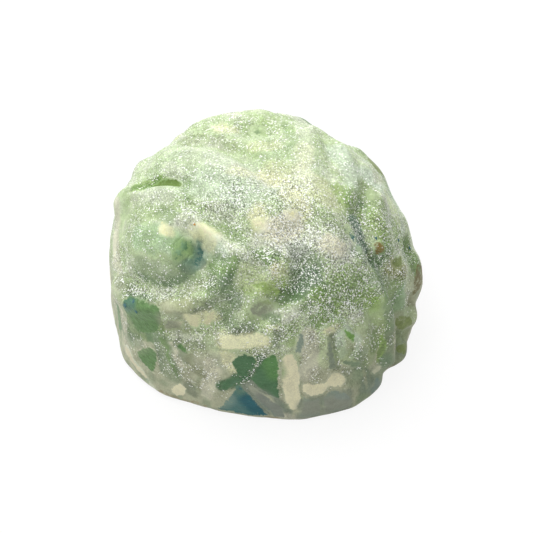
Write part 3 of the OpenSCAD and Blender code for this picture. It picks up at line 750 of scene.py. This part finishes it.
def uneven_outline(corners):
    """The outline in millimetres about its middle, corners cut, sides worn uneven and colour bled out."""
    corners = np.array(corners, float)
    middle = corners.mean(axis=0)
    stretch = np.array([math.cos(math.radians(middle[1])), 1.0]) * mm_per_degree
    flat = (corners - middle) * stretch
    after = np.roll(flat, -1, axis=0)
    if (flat[:, 0] * after[:, 1] - after[:, 0] * flat[:, 1]).sum() < 0:
        flat = flat[::-1]
        after = np.roll(flat, -1, axis=0)
    outline = []
    for start, end in zip(flat, after):
        length = np.linalg.norm(end - start) * (1 - 2 * corner_cut)
        steps = max(2, math.ceil(length / piece_spacing))
        for share in np.linspace(corner_cut, 1 - corner_cut, steps + 1):
            outline.append(start + (end - start) * share)
    outline = np.array(outline)
    drift = np.c_[outline, np.full(len(outline), middle[0])]
    wear = np.stack([ripple(drift, wear_size, 5.0), ripple(drift, wear_size, 15.0)], axis=1)
    along = np.roll(outline, -1, axis=0) - np.roll(outline, 1, axis=0)
    outward = np.stack([along[:, 1], -along[:, 0]], axis=1) / np.linalg.norm(along, axis=1)[:, None]
    return outline + wear_depth * wear + colour_bleed * outward, middle, stretch


# Stains in the cut pieces, where their dyes ran: colour, reach in millimetres, strength, and the path
stains = [
    (linear("5A8478"), 2.2, 0.7, [(-148, 28), (-144, 31)]),
    (linear("A9B48E"), 2.6, 0.6, [(-148, 22), (-143, 20)]),
    (linear("9EA288"), 4.0, 0.85, [(-126, 32), (-121, 34)]),
    (linear("E2E0BA"), 4.0, 0.85, [(-118, 36), (-110, 39)]),
    (linear("CFC9B0"), 2.0, 0.6, [(-149, 9), (-135, 4)]),
    (linear("6E8A46"), 3.0, 0.85, [(-176, 60), (-168, 65)]),
    (linear("E6E5B0"), 2.0, 0.8, [(-143, 57), (-139, 55)]),
    (linear("9DAE88"), 1.8, 0.4, [(-140, 14), (-136, 18)]),
    (linear("4E7350"), 1.8, 0.5, [(-98, 28), (-94, 29)]),
    (linear("86A092"), 2.6, 0.75, [(-107, 3), (-103, 7), (-102, 10)]),
    (linear("6A8A74"), 2.4, 0.7, [(-98, 16), (-96, 13)]),
    (linear("6C9A5C"), 3.0, 0.75, [(-87, 27), (-85, 22)]),
    # These two make the teal wedge darker towards the foot and darkest in a line along it.
    (linear("24606A"), 2.8, 0.9, [(-95, 10), (-93, 7), (-90, 4)]),
    (linear("2A6269"), 0.9, 0.7, [(-105, 2), (-97, 2), (-89, 2)]),
    (linear("B9B8A0"), 1.8, 0.6, [(-95, 17), (-92, 14)]),
    (linear("8C9186"), 2.6, 0.8, [(-90, 12), (-83, 4)]),
    (linear("A0A68E"), 4.0, 0.9, [(-95, 43), (-86, 43)]),
    (linear("FBFCD2"), 3.4, 1.0, [(-104, 33), (-90, 34)]),
    (linear("999C8C"), 3.0, 0.8, [(-75, 6), (-60, 5)]),
    (linear("93A298"), 1.4, 0.6, [(-63, 8), (-60, 7)]),
    (linear("8F9A8C"), 2.4, 0.8, [(-51, 5), (-47, 4)]),
    (linear("8FA082"), 2.4, 0.8, [(-60, 20), (-54, 17)]),
    (linear("8B957F"), 3.0, 0.8, [(-65, 31), (-64, 20)]),
    (linear("C9CDB4"), 2.5, 0.8, [(-48, 10), (-44, 10)]),
    (linear("8FA068"), 2.4, 0.7, [(-42, 19), (-44, 14)]),
    (linear("8DBB62"), 2.6, 0.7, [(-58, 31), (-56, 28)]),
    (jade, 1.8, 0.6, [(-134, 56), (-132, 53)]),
    (linear("54796E"), 3.0, 0.9, [(-123, 57), (-123, 52)]),
    (linear("F2F0C2"), 2.6, 0.9, [(-76, 68), (-65, 67)]),
    (lime, 4.0, 0.8, [(-94, 50), (-84, 48)]),
    (sage, 3.0, 0.6, [(100, 74), (90, 75)]),
    (linear("7F7A4E"), 4.0, 0.9, [(-12, 27), (-13, 21)]),
    (sage, 2.4, 0.8, [(-9, 58), (-15, 58)]),
]


def stained(colour, azimuth, latitude):
    """Colour of a cut piece, with its stains."""
    bare = dome_point(azimuth, latitude)
    tint = np.tile(colour, (len(bare), 1))
    for stain, reach, strength, places in stains:
        share = strength * smooth_step(nearness(bare, places, reach * MM), 0, 0.7)
        tint = tint + (stain - tint) * share[:, None]
    return tint


def bedded_piece(name, corners, colour, film, veil):
    """A piece flush with the skin, its colour fading under the poured film round its edge."""
    outline, middle, stretch = uneven_outline(corners)
    low = outline.min(axis=0)
    high = outline.max(axis=0)
    sideways = np.arange(low[0], high[0], piece_spacing)
    upwards = np.arange(low[1], high[1], piece_spacing)
    across, up = np.meshgrid(sideways, upwards)
    inner = np.c_[across.ravel(), up.ravel()]
    inner = inner[outline_gap(inner, outline) > edge_clearance]
    count = len(outline)
    edges = [(i, (i + 1) % count) for i in range(count)]
    spots = [Vector(spot) for spot in np.concatenate([outline, inner])]
    spots, _, triangles, *_ = geometry.delaunay_2d_cdt(spots, edges, [], 1, weld_gap)
    spots = np.array([tuple(spot) for spot in spots])
    depth = outline_gap(spots, outline)
    places = spots / stretch + middle
    latitude = np.maximum(places[:, 1], lowest_latitude)
    on_rim = depth < rim_width
    upper = skin(places[:, 0], latitude, np.where(on_rim, -rim_depth, piece_lift))
    lower = skin(places[:, 0], latitude, -piece_thickness)
    total = len(spots)
    faces = [tuple(triangle) for triangle in triangles]
    used = {}
    for triangle in faces:
        for i in range(3):
            used[(triangle[i], triangle[(i + 1) % 3])] = True
    walls = [(b, a, a + total, b + total) for a, b in used if (b, a) not in used]
    under = [tuple(total + i for i in reversed(triangle)) for triangle in faces]
    piece = link_mesh(name, np.concatenate([upper, lower]), faces + walls + under, len(faces))
    poured = poured_tint(places[:, 0], latitude)
    cover = np.maximum(1 - smooth_step(depth, 0, film), veil)
    grain = piece_grain * grain_share(places[:, 0], latitude)
    tint = stained(colour, places[:, 0], latitude)
    paint(piece.data, np.tile(tint, (2, 1)), np.tile(poured, (2, 1)), np.tile(cover, 2), np.tile(grain, 2))
    return piece


def bed_pieces(outlines, colour, material, film, veil):
    """Lays every piece of one soap, its edge faded over the film's width in millimetres."""
    for name, corners in outlines.items():
        piece = bedded_piece(name + "_cut", corners, colour, film, veil)
        piece.data.materials.append(material)
        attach(piece, "root")
        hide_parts(name)


leaf_green_material = soap_material("leaf_green_cut_soap", 0.42, 0.25, (500, 900, 2400), 0.4)
bed_pieces(leaf_green_outlines, leaf_green, leaf_green_material, 1.1, 0.0)
bed_pieces(leaf_green_on_folds, leaf_green, leaf_green_material, 1.0, 0.3)


# Dark green pieces: the darkest cut soap, a pair of heart-like leaves low on the front and shreds above.
# The large ones were pressed to the mould, so they show clean edges against the pale soap.
dark_green = linear("577C58")
dark_green_outlines = {
    "dark_leaf_upper": [(-100.5, 27), (-97.5, 29), (-94.5, 29.5), (-91.5, 27), (-92.5, 25), (-94, 23),
                        (-95.5, 19.8), (-98.5, 20.9), (-100.5, 24.5)],
    "dark_leaf_lower": [(-104, 13.5), (-104, 16), (-102, 18.5), (-98.7, 20.1), (-96.3, 19), (-99.5, 17),
                        (-102, 13.5)],
    "dark_leaf_right": [(-94.2, 19.3), (-91.5, 24), (-89.2, 27.3), (-87.5, 29), (-86, 29.5),
                        (-84.1, 27.5), (-84, 22), (-84.2, 16), (-83.4, 10), (-87, 12.2), (-92.5, 17.2)],
    "dark_crescent": [(-61, 20), (-59, 20.5), (-54, 18.5), (-52.5, 16.5), (-54, 15.5), (-56.8, 16.3),
                      (-59, 19)],
    "back_leaf": [(100, 30), (112, 33), (118, 24), (108, 17), (98, 21)],
}
dark_green_on_folds = {
    "boss_green": [(-132.5, 54), (-133.5, 57), (-131, 58.5), (-128.7, 58), (-127.3, 53.5), (-127.7, 51),
                   (-129.5, 49.2), (-131.5, 51)],
    "pit_green": [(103.5, 74), (100, 72.5), (86, 72.8), (87, 75.5), (91, 78.5), (98, 76.5)],
}
dark_green_material = soap_material("dark_green_cut_soap", 0.42, 0.2, (700, 700, 1500), 0.22)
bed_pieces(dark_green_outlines, dark_green, dark_green_material, 1.0, 0.0)
bed_pieces(dark_green_on_folds, dark_green, dark_green_material, 2.0, 0.3)


# Teal pieces: blue-green cut soap, darker towards the foot.
# The big wedge stands on the foot at the front, the shreds lie in grooves.
teal = linear("557F7A")
teal_outlines = {
    "teal_wedge": [(-107.5, 2), (-104, 6), (-101, 12), (-99.5, 16), (-97.2, 17.2), (-93.5, 12),
                   (-90.2, 7), (-86.9, 2)],
    "teal_corner": [(-47.5, 7), (-45.5, 6.5), (-44.5, 4), (-46, 2), (-52, 2), (-51, 4.5)],
    "back_teal": [(71, 14), (84, 15), (88, 4), (69, 3)],
}
teal_on_folds = {
    "boss_teal": [(-126.3, 58), (-122, 58.2), (-120, 56.3), (-120, 53), (-122.5, 49.7), (-125.3, 50.7),
                  (-126, 54)],
    "groove_teal": [(-42, 59.5), (-39.5, 58.5), (-39, 54), (-40.5, 51.5), (-43.5, 50.5), (-44.5, 52.5),
                    (-44, 57)],
}
teal_material = soap_material("teal_cut_soap", 0.42, 0.2, (350, 350, 700), 0.22)
bed_pieces(teal_outlines, teal, teal_material, 1.4, 0.0)
bed_pieces(teal_on_folds, teal, teal_material, 2.2, 0.35)


# Cream pieces: undyed soap cut into bars, posts and chips, opaque and matt.
# Their edges crumbled a little as they were pressed into place.
bare_cream = linear("ECE8C6")
cream_outlines = {
    "left_rim_cream": [(-150, 9), (-146.5, 11), (-143, 7.8), (-133.5, 5), (-136, 3.5), (-144, 5.3),
                       (-148, 7)],
    "left_cream_foot": [(-124, 6.5), (-120, 11), (-117.5, 8.5), (-118.5, 5), (-121.5, 3),
                        (-123.5, 4.2)],
    "cream_nub": [(-118.5, 37.5), (-116.5, 38.7), (-113.7, 39), (-114.5, 35), (-117, 33.5), (-119, 35)],
    "cream_slant": [(-113, 37), (-111.5, 39.7), (-108, 42), (-108.5, 39.5), (-109.5, 37),
                    (-112.5, 35.2)],
    "cream_bar": [(-105, 32.5), (-105, 34.5), (-102, 35.5), (-95.5, 35.5), (-91, 37), (-87, 35),
                  (-88.5, 33), (-94, 31.5), (-97, 30.5), (-104, 30.3)],
    "cream_post": [(-82.7, 27.5), (-81, 29), (-79, 29), (-77, 26), (-76.5, 21), (-76.5, 9), (-78, 6),
                   (-80, 5.5), (-82, 9.5), (-83.2, 18), (-83, 24)],
    "cream_step": [(-75.7, 16.3), (-71.5, 15.2), (-68.8, 14.4), (-67, 14.6), (-65.2, 17), (-63, 17.5),
                   (-60.5, 15.5), (-59, 12.5), (-61, 10.8), (-66, 11.8), (-69, 9.7), (-73.5, 10.7),
                   (-75.7, 12.5)],
    "cream_chip": [(-66.7, 34.7), (-64.5, 35.2), (-62.2, 32.8), (-64.5, 32.8), (-66.2, 33.2)],
    "cream_corner": [(-49, 10), (-46.5, 10.8), (-44.5, 11), (-43, 10), (-44, 8.2), (-47, 8.5)],
    "side_cream": [(36, 14), (44, 15), (44, 8), (37, 7)],
    "back_cream_bar": [(48, 31), (64, 33), (66, 28), (50, 26)],
    "back_cream_post": [(134, 27), (139, 27), (140, 8), (134, 7)],
    "back_left_cream": [(172, 16), (180, 17), (180, 9), (173, 8)],
}
cream_on_folds = {
    "boss_cream": [(-143.5, 55.7), (-146.5, 56.7), (-143.5, 57.8), (-139.5, 57.2), (-137, 54.7),
                   (-140, 53.6)],
    "fold_cream": [(-128.5, 62), (-124.5, 62.7), (-119, 62.2), (-111, 60), (-113.5, 59.3), (-123.5, 60),
                   (-127.7, 60.7)],
    "crown_cream": [(-97.5, 67), (-93.5, 67.7), (-88, 67), (-86.5, 65.5), (-88, 64), (-92.5, 63.8),
                    (-95.7, 65.3)],
    "crest_cream": [(-76, 68.3), (-69.5, 69), (-65, 68.5), (-64.5, 67), (-68.5, 65.5), (-73, 66)],
    "lobe_cream": [(-10, 59.5), (-8, 58), (-11, 57), (-16, 57.2), (-14, 59)],
    "back_cream_chip": [(116, 58), (126, 60), (128, 54), (118, 52)],
}
cream_material = soap_material("cream_cut_soap", 0.55, 0.2, (600, 600, 600), 0.1)
bed_pieces(cream_outlines, bare_cream, cream_material, 1.1, 0.0)
bed_pieces(cream_on_folds, bare_cream, cream_material, 2.0, 0.3)


# Grey pieces: smoky, half-clear soap in slabs along the foot and chips on the wall.
# They take a soft shine where the mould was smooth.
smoke_grey = linear("93A292")
grey_outlines = {
    "left_grey": [(-128, 31.5), (-127, 33.2), (-124.5, 34.7), (-120, 36), (-120.5, 33.5), (-124, 30.5),
                  (-128, 29.8)],
    "grey_strip": [(-95.8, 17.7), (-92.5, 16.3), (-87, 11.2), (-82.2, 5.7), (-81.5, 2), (-86, 2),
                   (-89.3, 7), (-93, 12.8), (-95.3, 16)],
    "grey_foot": [(-75.6, 11), (-73.4, 9.7), (-69.6, 8.6), (-69.5, 2), (-77.5, 2), (-77, 5),
                  (-75.8, 8)],
    "grey_slab": [(-68.7, 8.2), (-67, 10.2), (-65, 10.6), (-63, 10), (-59.5, 7.7), (-58.5, 5), (-60, 2),
                  (-68.8, 2)],
    "grey_chip": [(-77, 34.5), (-75.5, 36), (-74, 35), (-74.2, 31.5), (-75.5, 28), (-77, 28),
                  (-78.5, 30)],
    "grey_stripe": [(-66, 32), (-64.3, 31.5), (-63.8, 27), (-62.5, 20), (-62.8, 18.7), (-65, 19),
                    (-66, 21.5)],
    "back_grey": [(95, 13), (112, 12), (110, 4), (96, 3)],
}
grey_on_folds = {
    "hollow_grey": [(-93, 45.5), (-91, 46.5), (-87, 46.3), (-83, 45), (-84, 43.5), (-90, 41),
                    (-94, 41.5), (-95.5, 43)],
}
grey_material = soap_material("grey_cut_soap", 0.38, 0.25, (400, 400, 900), 0.14)
bed_pieces(grey_outlines, smoke_grey, grey_material, 1.2, 0.05)
bed_pieces(grey_on_folds, smoke_grey, grey_material, 1.6, 0.3)


# Olive pieces: yellowish green shreds on the right flank and in the creases of the crown.
# They are thin peelings of older soap, stuck to the mould and half covered by the pour.
olive = linear("8B9A62")
olive_outlines = {
    "flank_olive": [(-29, 20.5), (-25, 19), (-22, 15.5), (-22, 11), (-28, 14), (-29.5, 17)],
    "flank_olive_low": [(-30.5, 8.5), (-26, 7.5), (-25, 5), (-29, 4), (-31, 5.5)],
    "lobe_olive": [(-28.5, 42), (-24, 41.2), (-20, 39), (-24.5, 38), (-28, 39.5)],
    "crease_olive": [(-177, 58), (-176.5, 62.5), (-172, 65.5), (-166, 67), (-162.5, 66), (-168, 62.5),
                     (-170, 60)],
    "back_olive": [(30, 43), (38, 45), (40, 37), (31, 36)],
}
bed_pieces(olive_outlines, olive,
           soap_material("olive_cut_soap", 0.45, 0.2, (500, 500, 1200), 0.22), 0.9, 0.15)


# Amber pieces: two brown-gold flakes on the right flank, cut from a half-clear soap.
# They set at the edge of a lobe, under a thin film of the poured soap.
amber = linear("8A7A4C")
amber_outlines = {
    "flank_amber": [(-10, 29), (-8, 26), (-8.5, 22), (-11, 19.5), (-15, 19), (-15.5, 24), (-13, 28)],
    "lobe_amber": [(-32.5, 50), (-30, 49.7), (-29, 48.3), (-31.5, 46), (-34, 46.7), (-33.5, 48.5)],
}
bed_pieces(amber_outlines, amber,
           soap_material("amber_cut_soap", 0.4, 0.25, (500, 500, 1200), 0.22), 1.0, 0.35)


# Glitter: silvery mica flakes sprinkled into the mould, caught in the skin of the folds.
# They lie thickest on the front of the crown, each tilted its own way, and thin out down the wall.
flakes_per_square_metre = 1.15e7
flake_radius = 0.074 * MM
flake_thickness = 0.04 * MM
flake_tilt = 0.6
flake_growth = (0.5, 1.7)
glitter_seed = 7
shaded_mica = (0.16, 0.24, 0.13, 1)
bright_mica = (0.97, 0.98, 0.94, 1)

tree = bpy.data.node_groups.new("glitter_flakes", "GeometryNodeTree")
tree.interface.new_socket(name="Geometry", in_out="INPUT", socket_type="NodeSocketGeometry")
sizes = {
    "Flakes per square metre": flakes_per_square_metre,
    "Flake radius": flake_radius,
    "Flake thickness": flake_thickness,
    "Tilt": flake_tilt,
}
sockets = {}
for name in sizes:
    socket = tree.interface.new_socket(name=name, in_out="INPUT", socket_type="NodeSocketFloat")
    sockets[name] = socket.identifier
tree.interface.new_socket(name="Geometry", in_out="OUTPUT", socket_type="NodeSocketGeometry")
given = add_node(tree, "NodeGroupInput", {}, {}).outputs
amount = add_node(tree, "GeometryNodeInputNamedAttribute", {"data_type": "FLOAT"}, {"Name": "flakes"})
density = add_node(tree, "ShaderNodeMath", {"operation": "MULTIPLY"},
                   {0: amount.outputs["Attribute"], 1: given["Flakes per square metre"]})
scatter = add_node(tree, "GeometryNodeDistributePointsOnFaces", {"distribute_method": "RANDOM"},
                   {"Mesh": given["Geometry"], "Density": density.outputs["Value"], "Seed": glitter_seed})
flake = add_node(tree, "GeometryNodeMeshCone", {"fill_type": "NGON"},
                 {"Vertices": 3, "Radius Top": 0.0, "Radius Bottom": given["Flake radius"],
                  "Depth": given["Flake thickness"]})
back_tilt = add_node(tree, "ShaderNodeMath", {"operation": "MULTIPLY"}, {0: given["Tilt"], 1: -1.0})
least = add_node(tree, "ShaderNodeCombineXYZ", {},
                 {0: back_tilt.outputs[0], 1: back_tilt.outputs[0], 2: -math.pi})
most = add_node(tree, "ShaderNodeCombineXYZ", {}, {0: given["Tilt"], 1: given["Tilt"], 2: math.pi})
lean = add_node(tree, "FunctionNodeRandomValue", {"data_type": "FLOAT_VECTOR"},
                {0: least.outputs[0], 1: most.outputs[0], "Seed": glitter_seed})
turn = add_node(tree, "FunctionNodeEulerToRotation", {}, {0: lean.outputs[0]})
leant = add_node(tree, "FunctionNodeRotateRotation", {"rotation_space": "LOCAL"},
                 {0: scatter.outputs["Rotation"], 1: turn.outputs[0]})
growth = add_node(tree, "FunctionNodeRandomValue", {"data_type": "FLOAT"},
                  {2: flake_growth[0], 3: flake_growth[1], "Seed": glitter_seed + 1})
placed = add_node(tree, "GeometryNodeInstanceOnPoints", {},
                  {"Points": scatter.outputs["Points"], "Instance": flake.outputs["Mesh"],
                   "Rotation": leant.outputs[0], "Scale": growth.outputs[1]})
lot = add_node(tree, "FunctionNodeRandomValue", {"data_type": "FLOAT"},
               {2: 0.0, 3: 1.0, "Seed": glitter_seed + 2})
marked = add_node(tree, "GeometryNodeStoreNamedAttribute", {"data_type": "FLOAT", "domain": "INSTANCE"},
                  {"Geometry": placed.outputs["Instances"], "Name": "glint", "Value": lot.outputs[1]})
real = add_node(tree, "GeometryNodeRealizeInstances", {}, {"Geometry": marked.outputs["Geometry"]})

mica, mica_tree, mica_shader = new_material("silver_mica")
silver = add_node(mica_tree, "ShaderNodeValToRGB", {}, {"Fac": stored(mica_tree, "glint")["Fac"]})
for stop, position, colour in zip(silver.color_ramp.elements, (0.25, 0.75), (shaded_mica, bright_mica)):
    stop.position = position
    stop.color = colour
mica_tree.links.new(silver.outputs["Color"], mica_shader.inputs["Base Color"])
mica_shader.inputs["Metallic"].default_value = 1.0
mica_shader.inputs["Roughness"].default_value = 0.3

finished = add_node(tree, "GeometryNodeSetMaterial", {},
                    {"Geometry": real.outputs["Geometry"], "Material": mica})
add_node(tree, "NodeGroupOutput", {}, {"Geometry": finished.outputs["Geometry"]})

sprinkled = bpy.data.objects.new("sprinkled", base.data)
bpy.context.collection.objects.link(sprinkled)
sprinkle = sprinkled.modifiers.new("glitter", "NODES")
sprinkle.node_group = tree
for name, identifier in sockets.items():
    sprinkle[identifier] = sizes[name]
evaluated = sprinkled.evaluated_get(bpy.context.evaluated_depsgraph_get())
flake_mesh = bpy.data.meshes.new_from_object(evaluated)
bpy.data.objects.remove(sprinkled)
glitter = bpy.data.objects.new("glitter_flakes", flake_mesh)
bpy.context.collection.objects.link(glitter)
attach(glitter, "root")


# Dye specks: grains of undissolved blue and orange colour that bled into the soap's skin.
# Each is a flat blob, half sunk in the surface.
speck_places = {
    "blue_dye_specks": ("1F5A72", [(-147.5, 28.5, 0.6), (-143.5, 32, 0.5), (-141, 30, 0.5),
                                   (-97.5, 15, 0.35), (-30, 50.5, 0.35), (-16.5, 43, 0.4), (-7, 34, 0.4)]),
    "orange_dye_speck": ("C98A3C", [(-129.5, 61.5, 0.28)]),
}
speck_sides = 10
speck_rings = ((1.0, -0.05 * MM), (0.75, 0.1 * MM))
speck_top = 0.16 * MM
speck_depth = 0.2 * MM
speck_waviness = 0.25
bleeds_per_metre = 3000.0


def dye_specks(name, code, specks):
    """Blobs of one colour, each an azimuth, a latitude and a radius in millimetres."""
    points = []
    faces = []
    for azimuth, latitude, radius in specks:
        heart = skin([azimuth], [latitude])[0]
        out = heart / np.linalg.norm(heart)
        right = np.cross((0, 0, 1), out)
        right = right / np.linalg.norm(right)
        up = np.cross(out, right)
        first = len(points)
        for share, rise in speck_rings:
            for i in range(speck_sides):
                turn = 2 * math.pi * i / speck_sides
                reach = radius * MM * share * (1 + speck_waviness * math.sin(3 * turn + azimuth))
                aside = math.cos(turn) * right + math.sin(turn) * up
                points.append(heart + reach * aside + rise * out)
        points.append(heart + speck_top * out)
        points.append(heart - speck_depth * out)
        top = first + 2 * speck_sides
        for i in range(speck_sides):
            j = (i + 1) % speck_sides
            faces.append((first + i, first + j, first + speck_sides + j, first + speck_sides + i))
            faces.append((first + speck_sides + i, first + speck_sides + j, top))
            faces.append((first + j, first + i, top + 1))
    specks_object = link_mesh(name, points, faces, len(faces))
    material, tree, shader = new_material(name)
    place = add_node(tree, "ShaderNodeTexCoord", {}, {}).outputs["Object"]
    bleed = clouding(tree, place, bleeds_per_metre, 2.0, 0.5)
    strong = tuple(linear(code)) + (1,)
    weak = tuple(linear(code) * 0.6 + moss * 0.4) + (1,)
    tree.links.new(mixed_colour(tree, bleed, strong, weak), shader.inputs["Base Color"])
    shader.inputs["Roughness"].default_value = 0.5
    specks_object.data.materials.append(material)
    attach(specks_object, "root")


for name, (code, specks) in speck_places.items():
    dye_specks(name, code, specks)


# Studio: a plain pale floor that keeps the shadow, lit from above, behind and in front by soft lamps.
# The floor and the background show white to the camera, in reflections and through clear things.
# The camera looks down at the photograph's angle, framed by the photograph's own pixels.
floor_size = 4.0
room_light = 0.46
lamp_aim = Vector((0, 0, 0.02))


def looking(tree):
    """1 for rays from the camera, off a glossy surface or through a clear one."""
    rays = add_node(tree, "ShaderNodeLightPath", {}, {}).outputs
    mirrored = add_node(tree, "ShaderNodeMath", {"operation": "MAXIMUM"},
                        {0: rays["Is Camera Ray"], 1: rays["Is Glossy Ray"]})
    return add_node(tree, "ShaderNodeMath", {"operation": "MAXIMUM"},
                    {0: mirrored.outputs["Value"], 1: rays["Is Transmission Ray"]}).outputs["Value"]


floor_corners = [(-floor_size, -floor_size, 0), (floor_size, -floor_size, 0),
                 (floor_size, floor_size, 0), (-floor_size, floor_size, 0)]
floor = link_mesh("floor", floor_corners, [(0, 1, 2, 3)], 0)
floor_material, floor_tree, floor_shader = new_material("pale_floor")
floor_shader.inputs["Base Color"].default_value = (0.6, 0.6, 0.6, 1)
floor_shader.inputs["Roughness"].default_value = 0.9
white = add_node(floor_tree, "ShaderNodeEmission", {}, {"Strength": 1.1})
seen = add_node(floor_tree, "ShaderNodeMath", {"operation": "MULTIPLY"}, {0: looking(floor_tree), 1: 0.8})
blend = add_node(floor_tree, "ShaderNodeMixShader", {},
                 {0: seen.outputs["Value"], 1: floor_shader.outputs["BSDF"], 2: white.outputs["Emission"]})
floor_tree.links.new(blend.outputs["Shader"], floor_tree.nodes["Material Output"].inputs["Surface"])
floor.data.materials.append(floor_material)

scene = bpy.context.scene
scene.view_settings.view_transform = "Standard"
world = bpy.data.worlds.new("studio")
world.use_nodes = True
scene.world = world
sky = world.node_tree.nodes["Background"]
sky.inputs["Color"].default_value = (1, 1, 1, 1)
level = remapped(world.node_tree, looking(world.node_tree), (0.0, 1.0), (room_light, 1.0), {})
world.node_tree.links.new(level, sky.inputs["Strength"])


def soft_lamp(name, place, size, energy):
    lamp = bpy.data.lights.new(name, "AREA")
    lamp.size = size
    lamp.energy = energy
    holder = bpy.data.objects.new(name, lamp)
    holder.location = place
    holder.rotation_euler = (lamp_aim - holder.location).to_track_quat("-Z", "Y").to_euler()
    bpy.context.collection.objects.link(holder)


soft_lamp("overhead_softbox", (-0.2, 0.16, 0.55), 0.4, 3.0)
soft_lamp("back_softbox", (0.1, 0.6, 0.3), 0.5, 1.6)
soft_lamp("front_fill", (-0.3, -0.6, 0.35), 0.5, 1.1)

photo_size = 533
film_width = 36
camera_elevation = math.radians(42)
camera_distance = 0.4
aim_height = 0.019
pixels_per_metre = 4612
aim_pixel = (261.7, 244.5)
camera = bpy.data.objects.new("camera", bpy.data.cameras.new("camera"))
camera.data.sensor_width = film_width
camera.data.lens = film_width * camera_distance * pixels_per_metre / photo_size
camera.data.shift_x = 0.5 - aim_pixel[0] / photo_size
camera.data.shift_y = aim_pixel[1] / photo_size - 0.5
camera.location = (0, -camera_distance * math.cos(camera_elevation),
                   aim_height + camera_distance * math.sin(camera_elevation))
camera.rotation_euler = (math.pi / 2 - camera_elevation, 0, 0)
bpy.context.collection.objects.link(camera)
scene.camera = camera
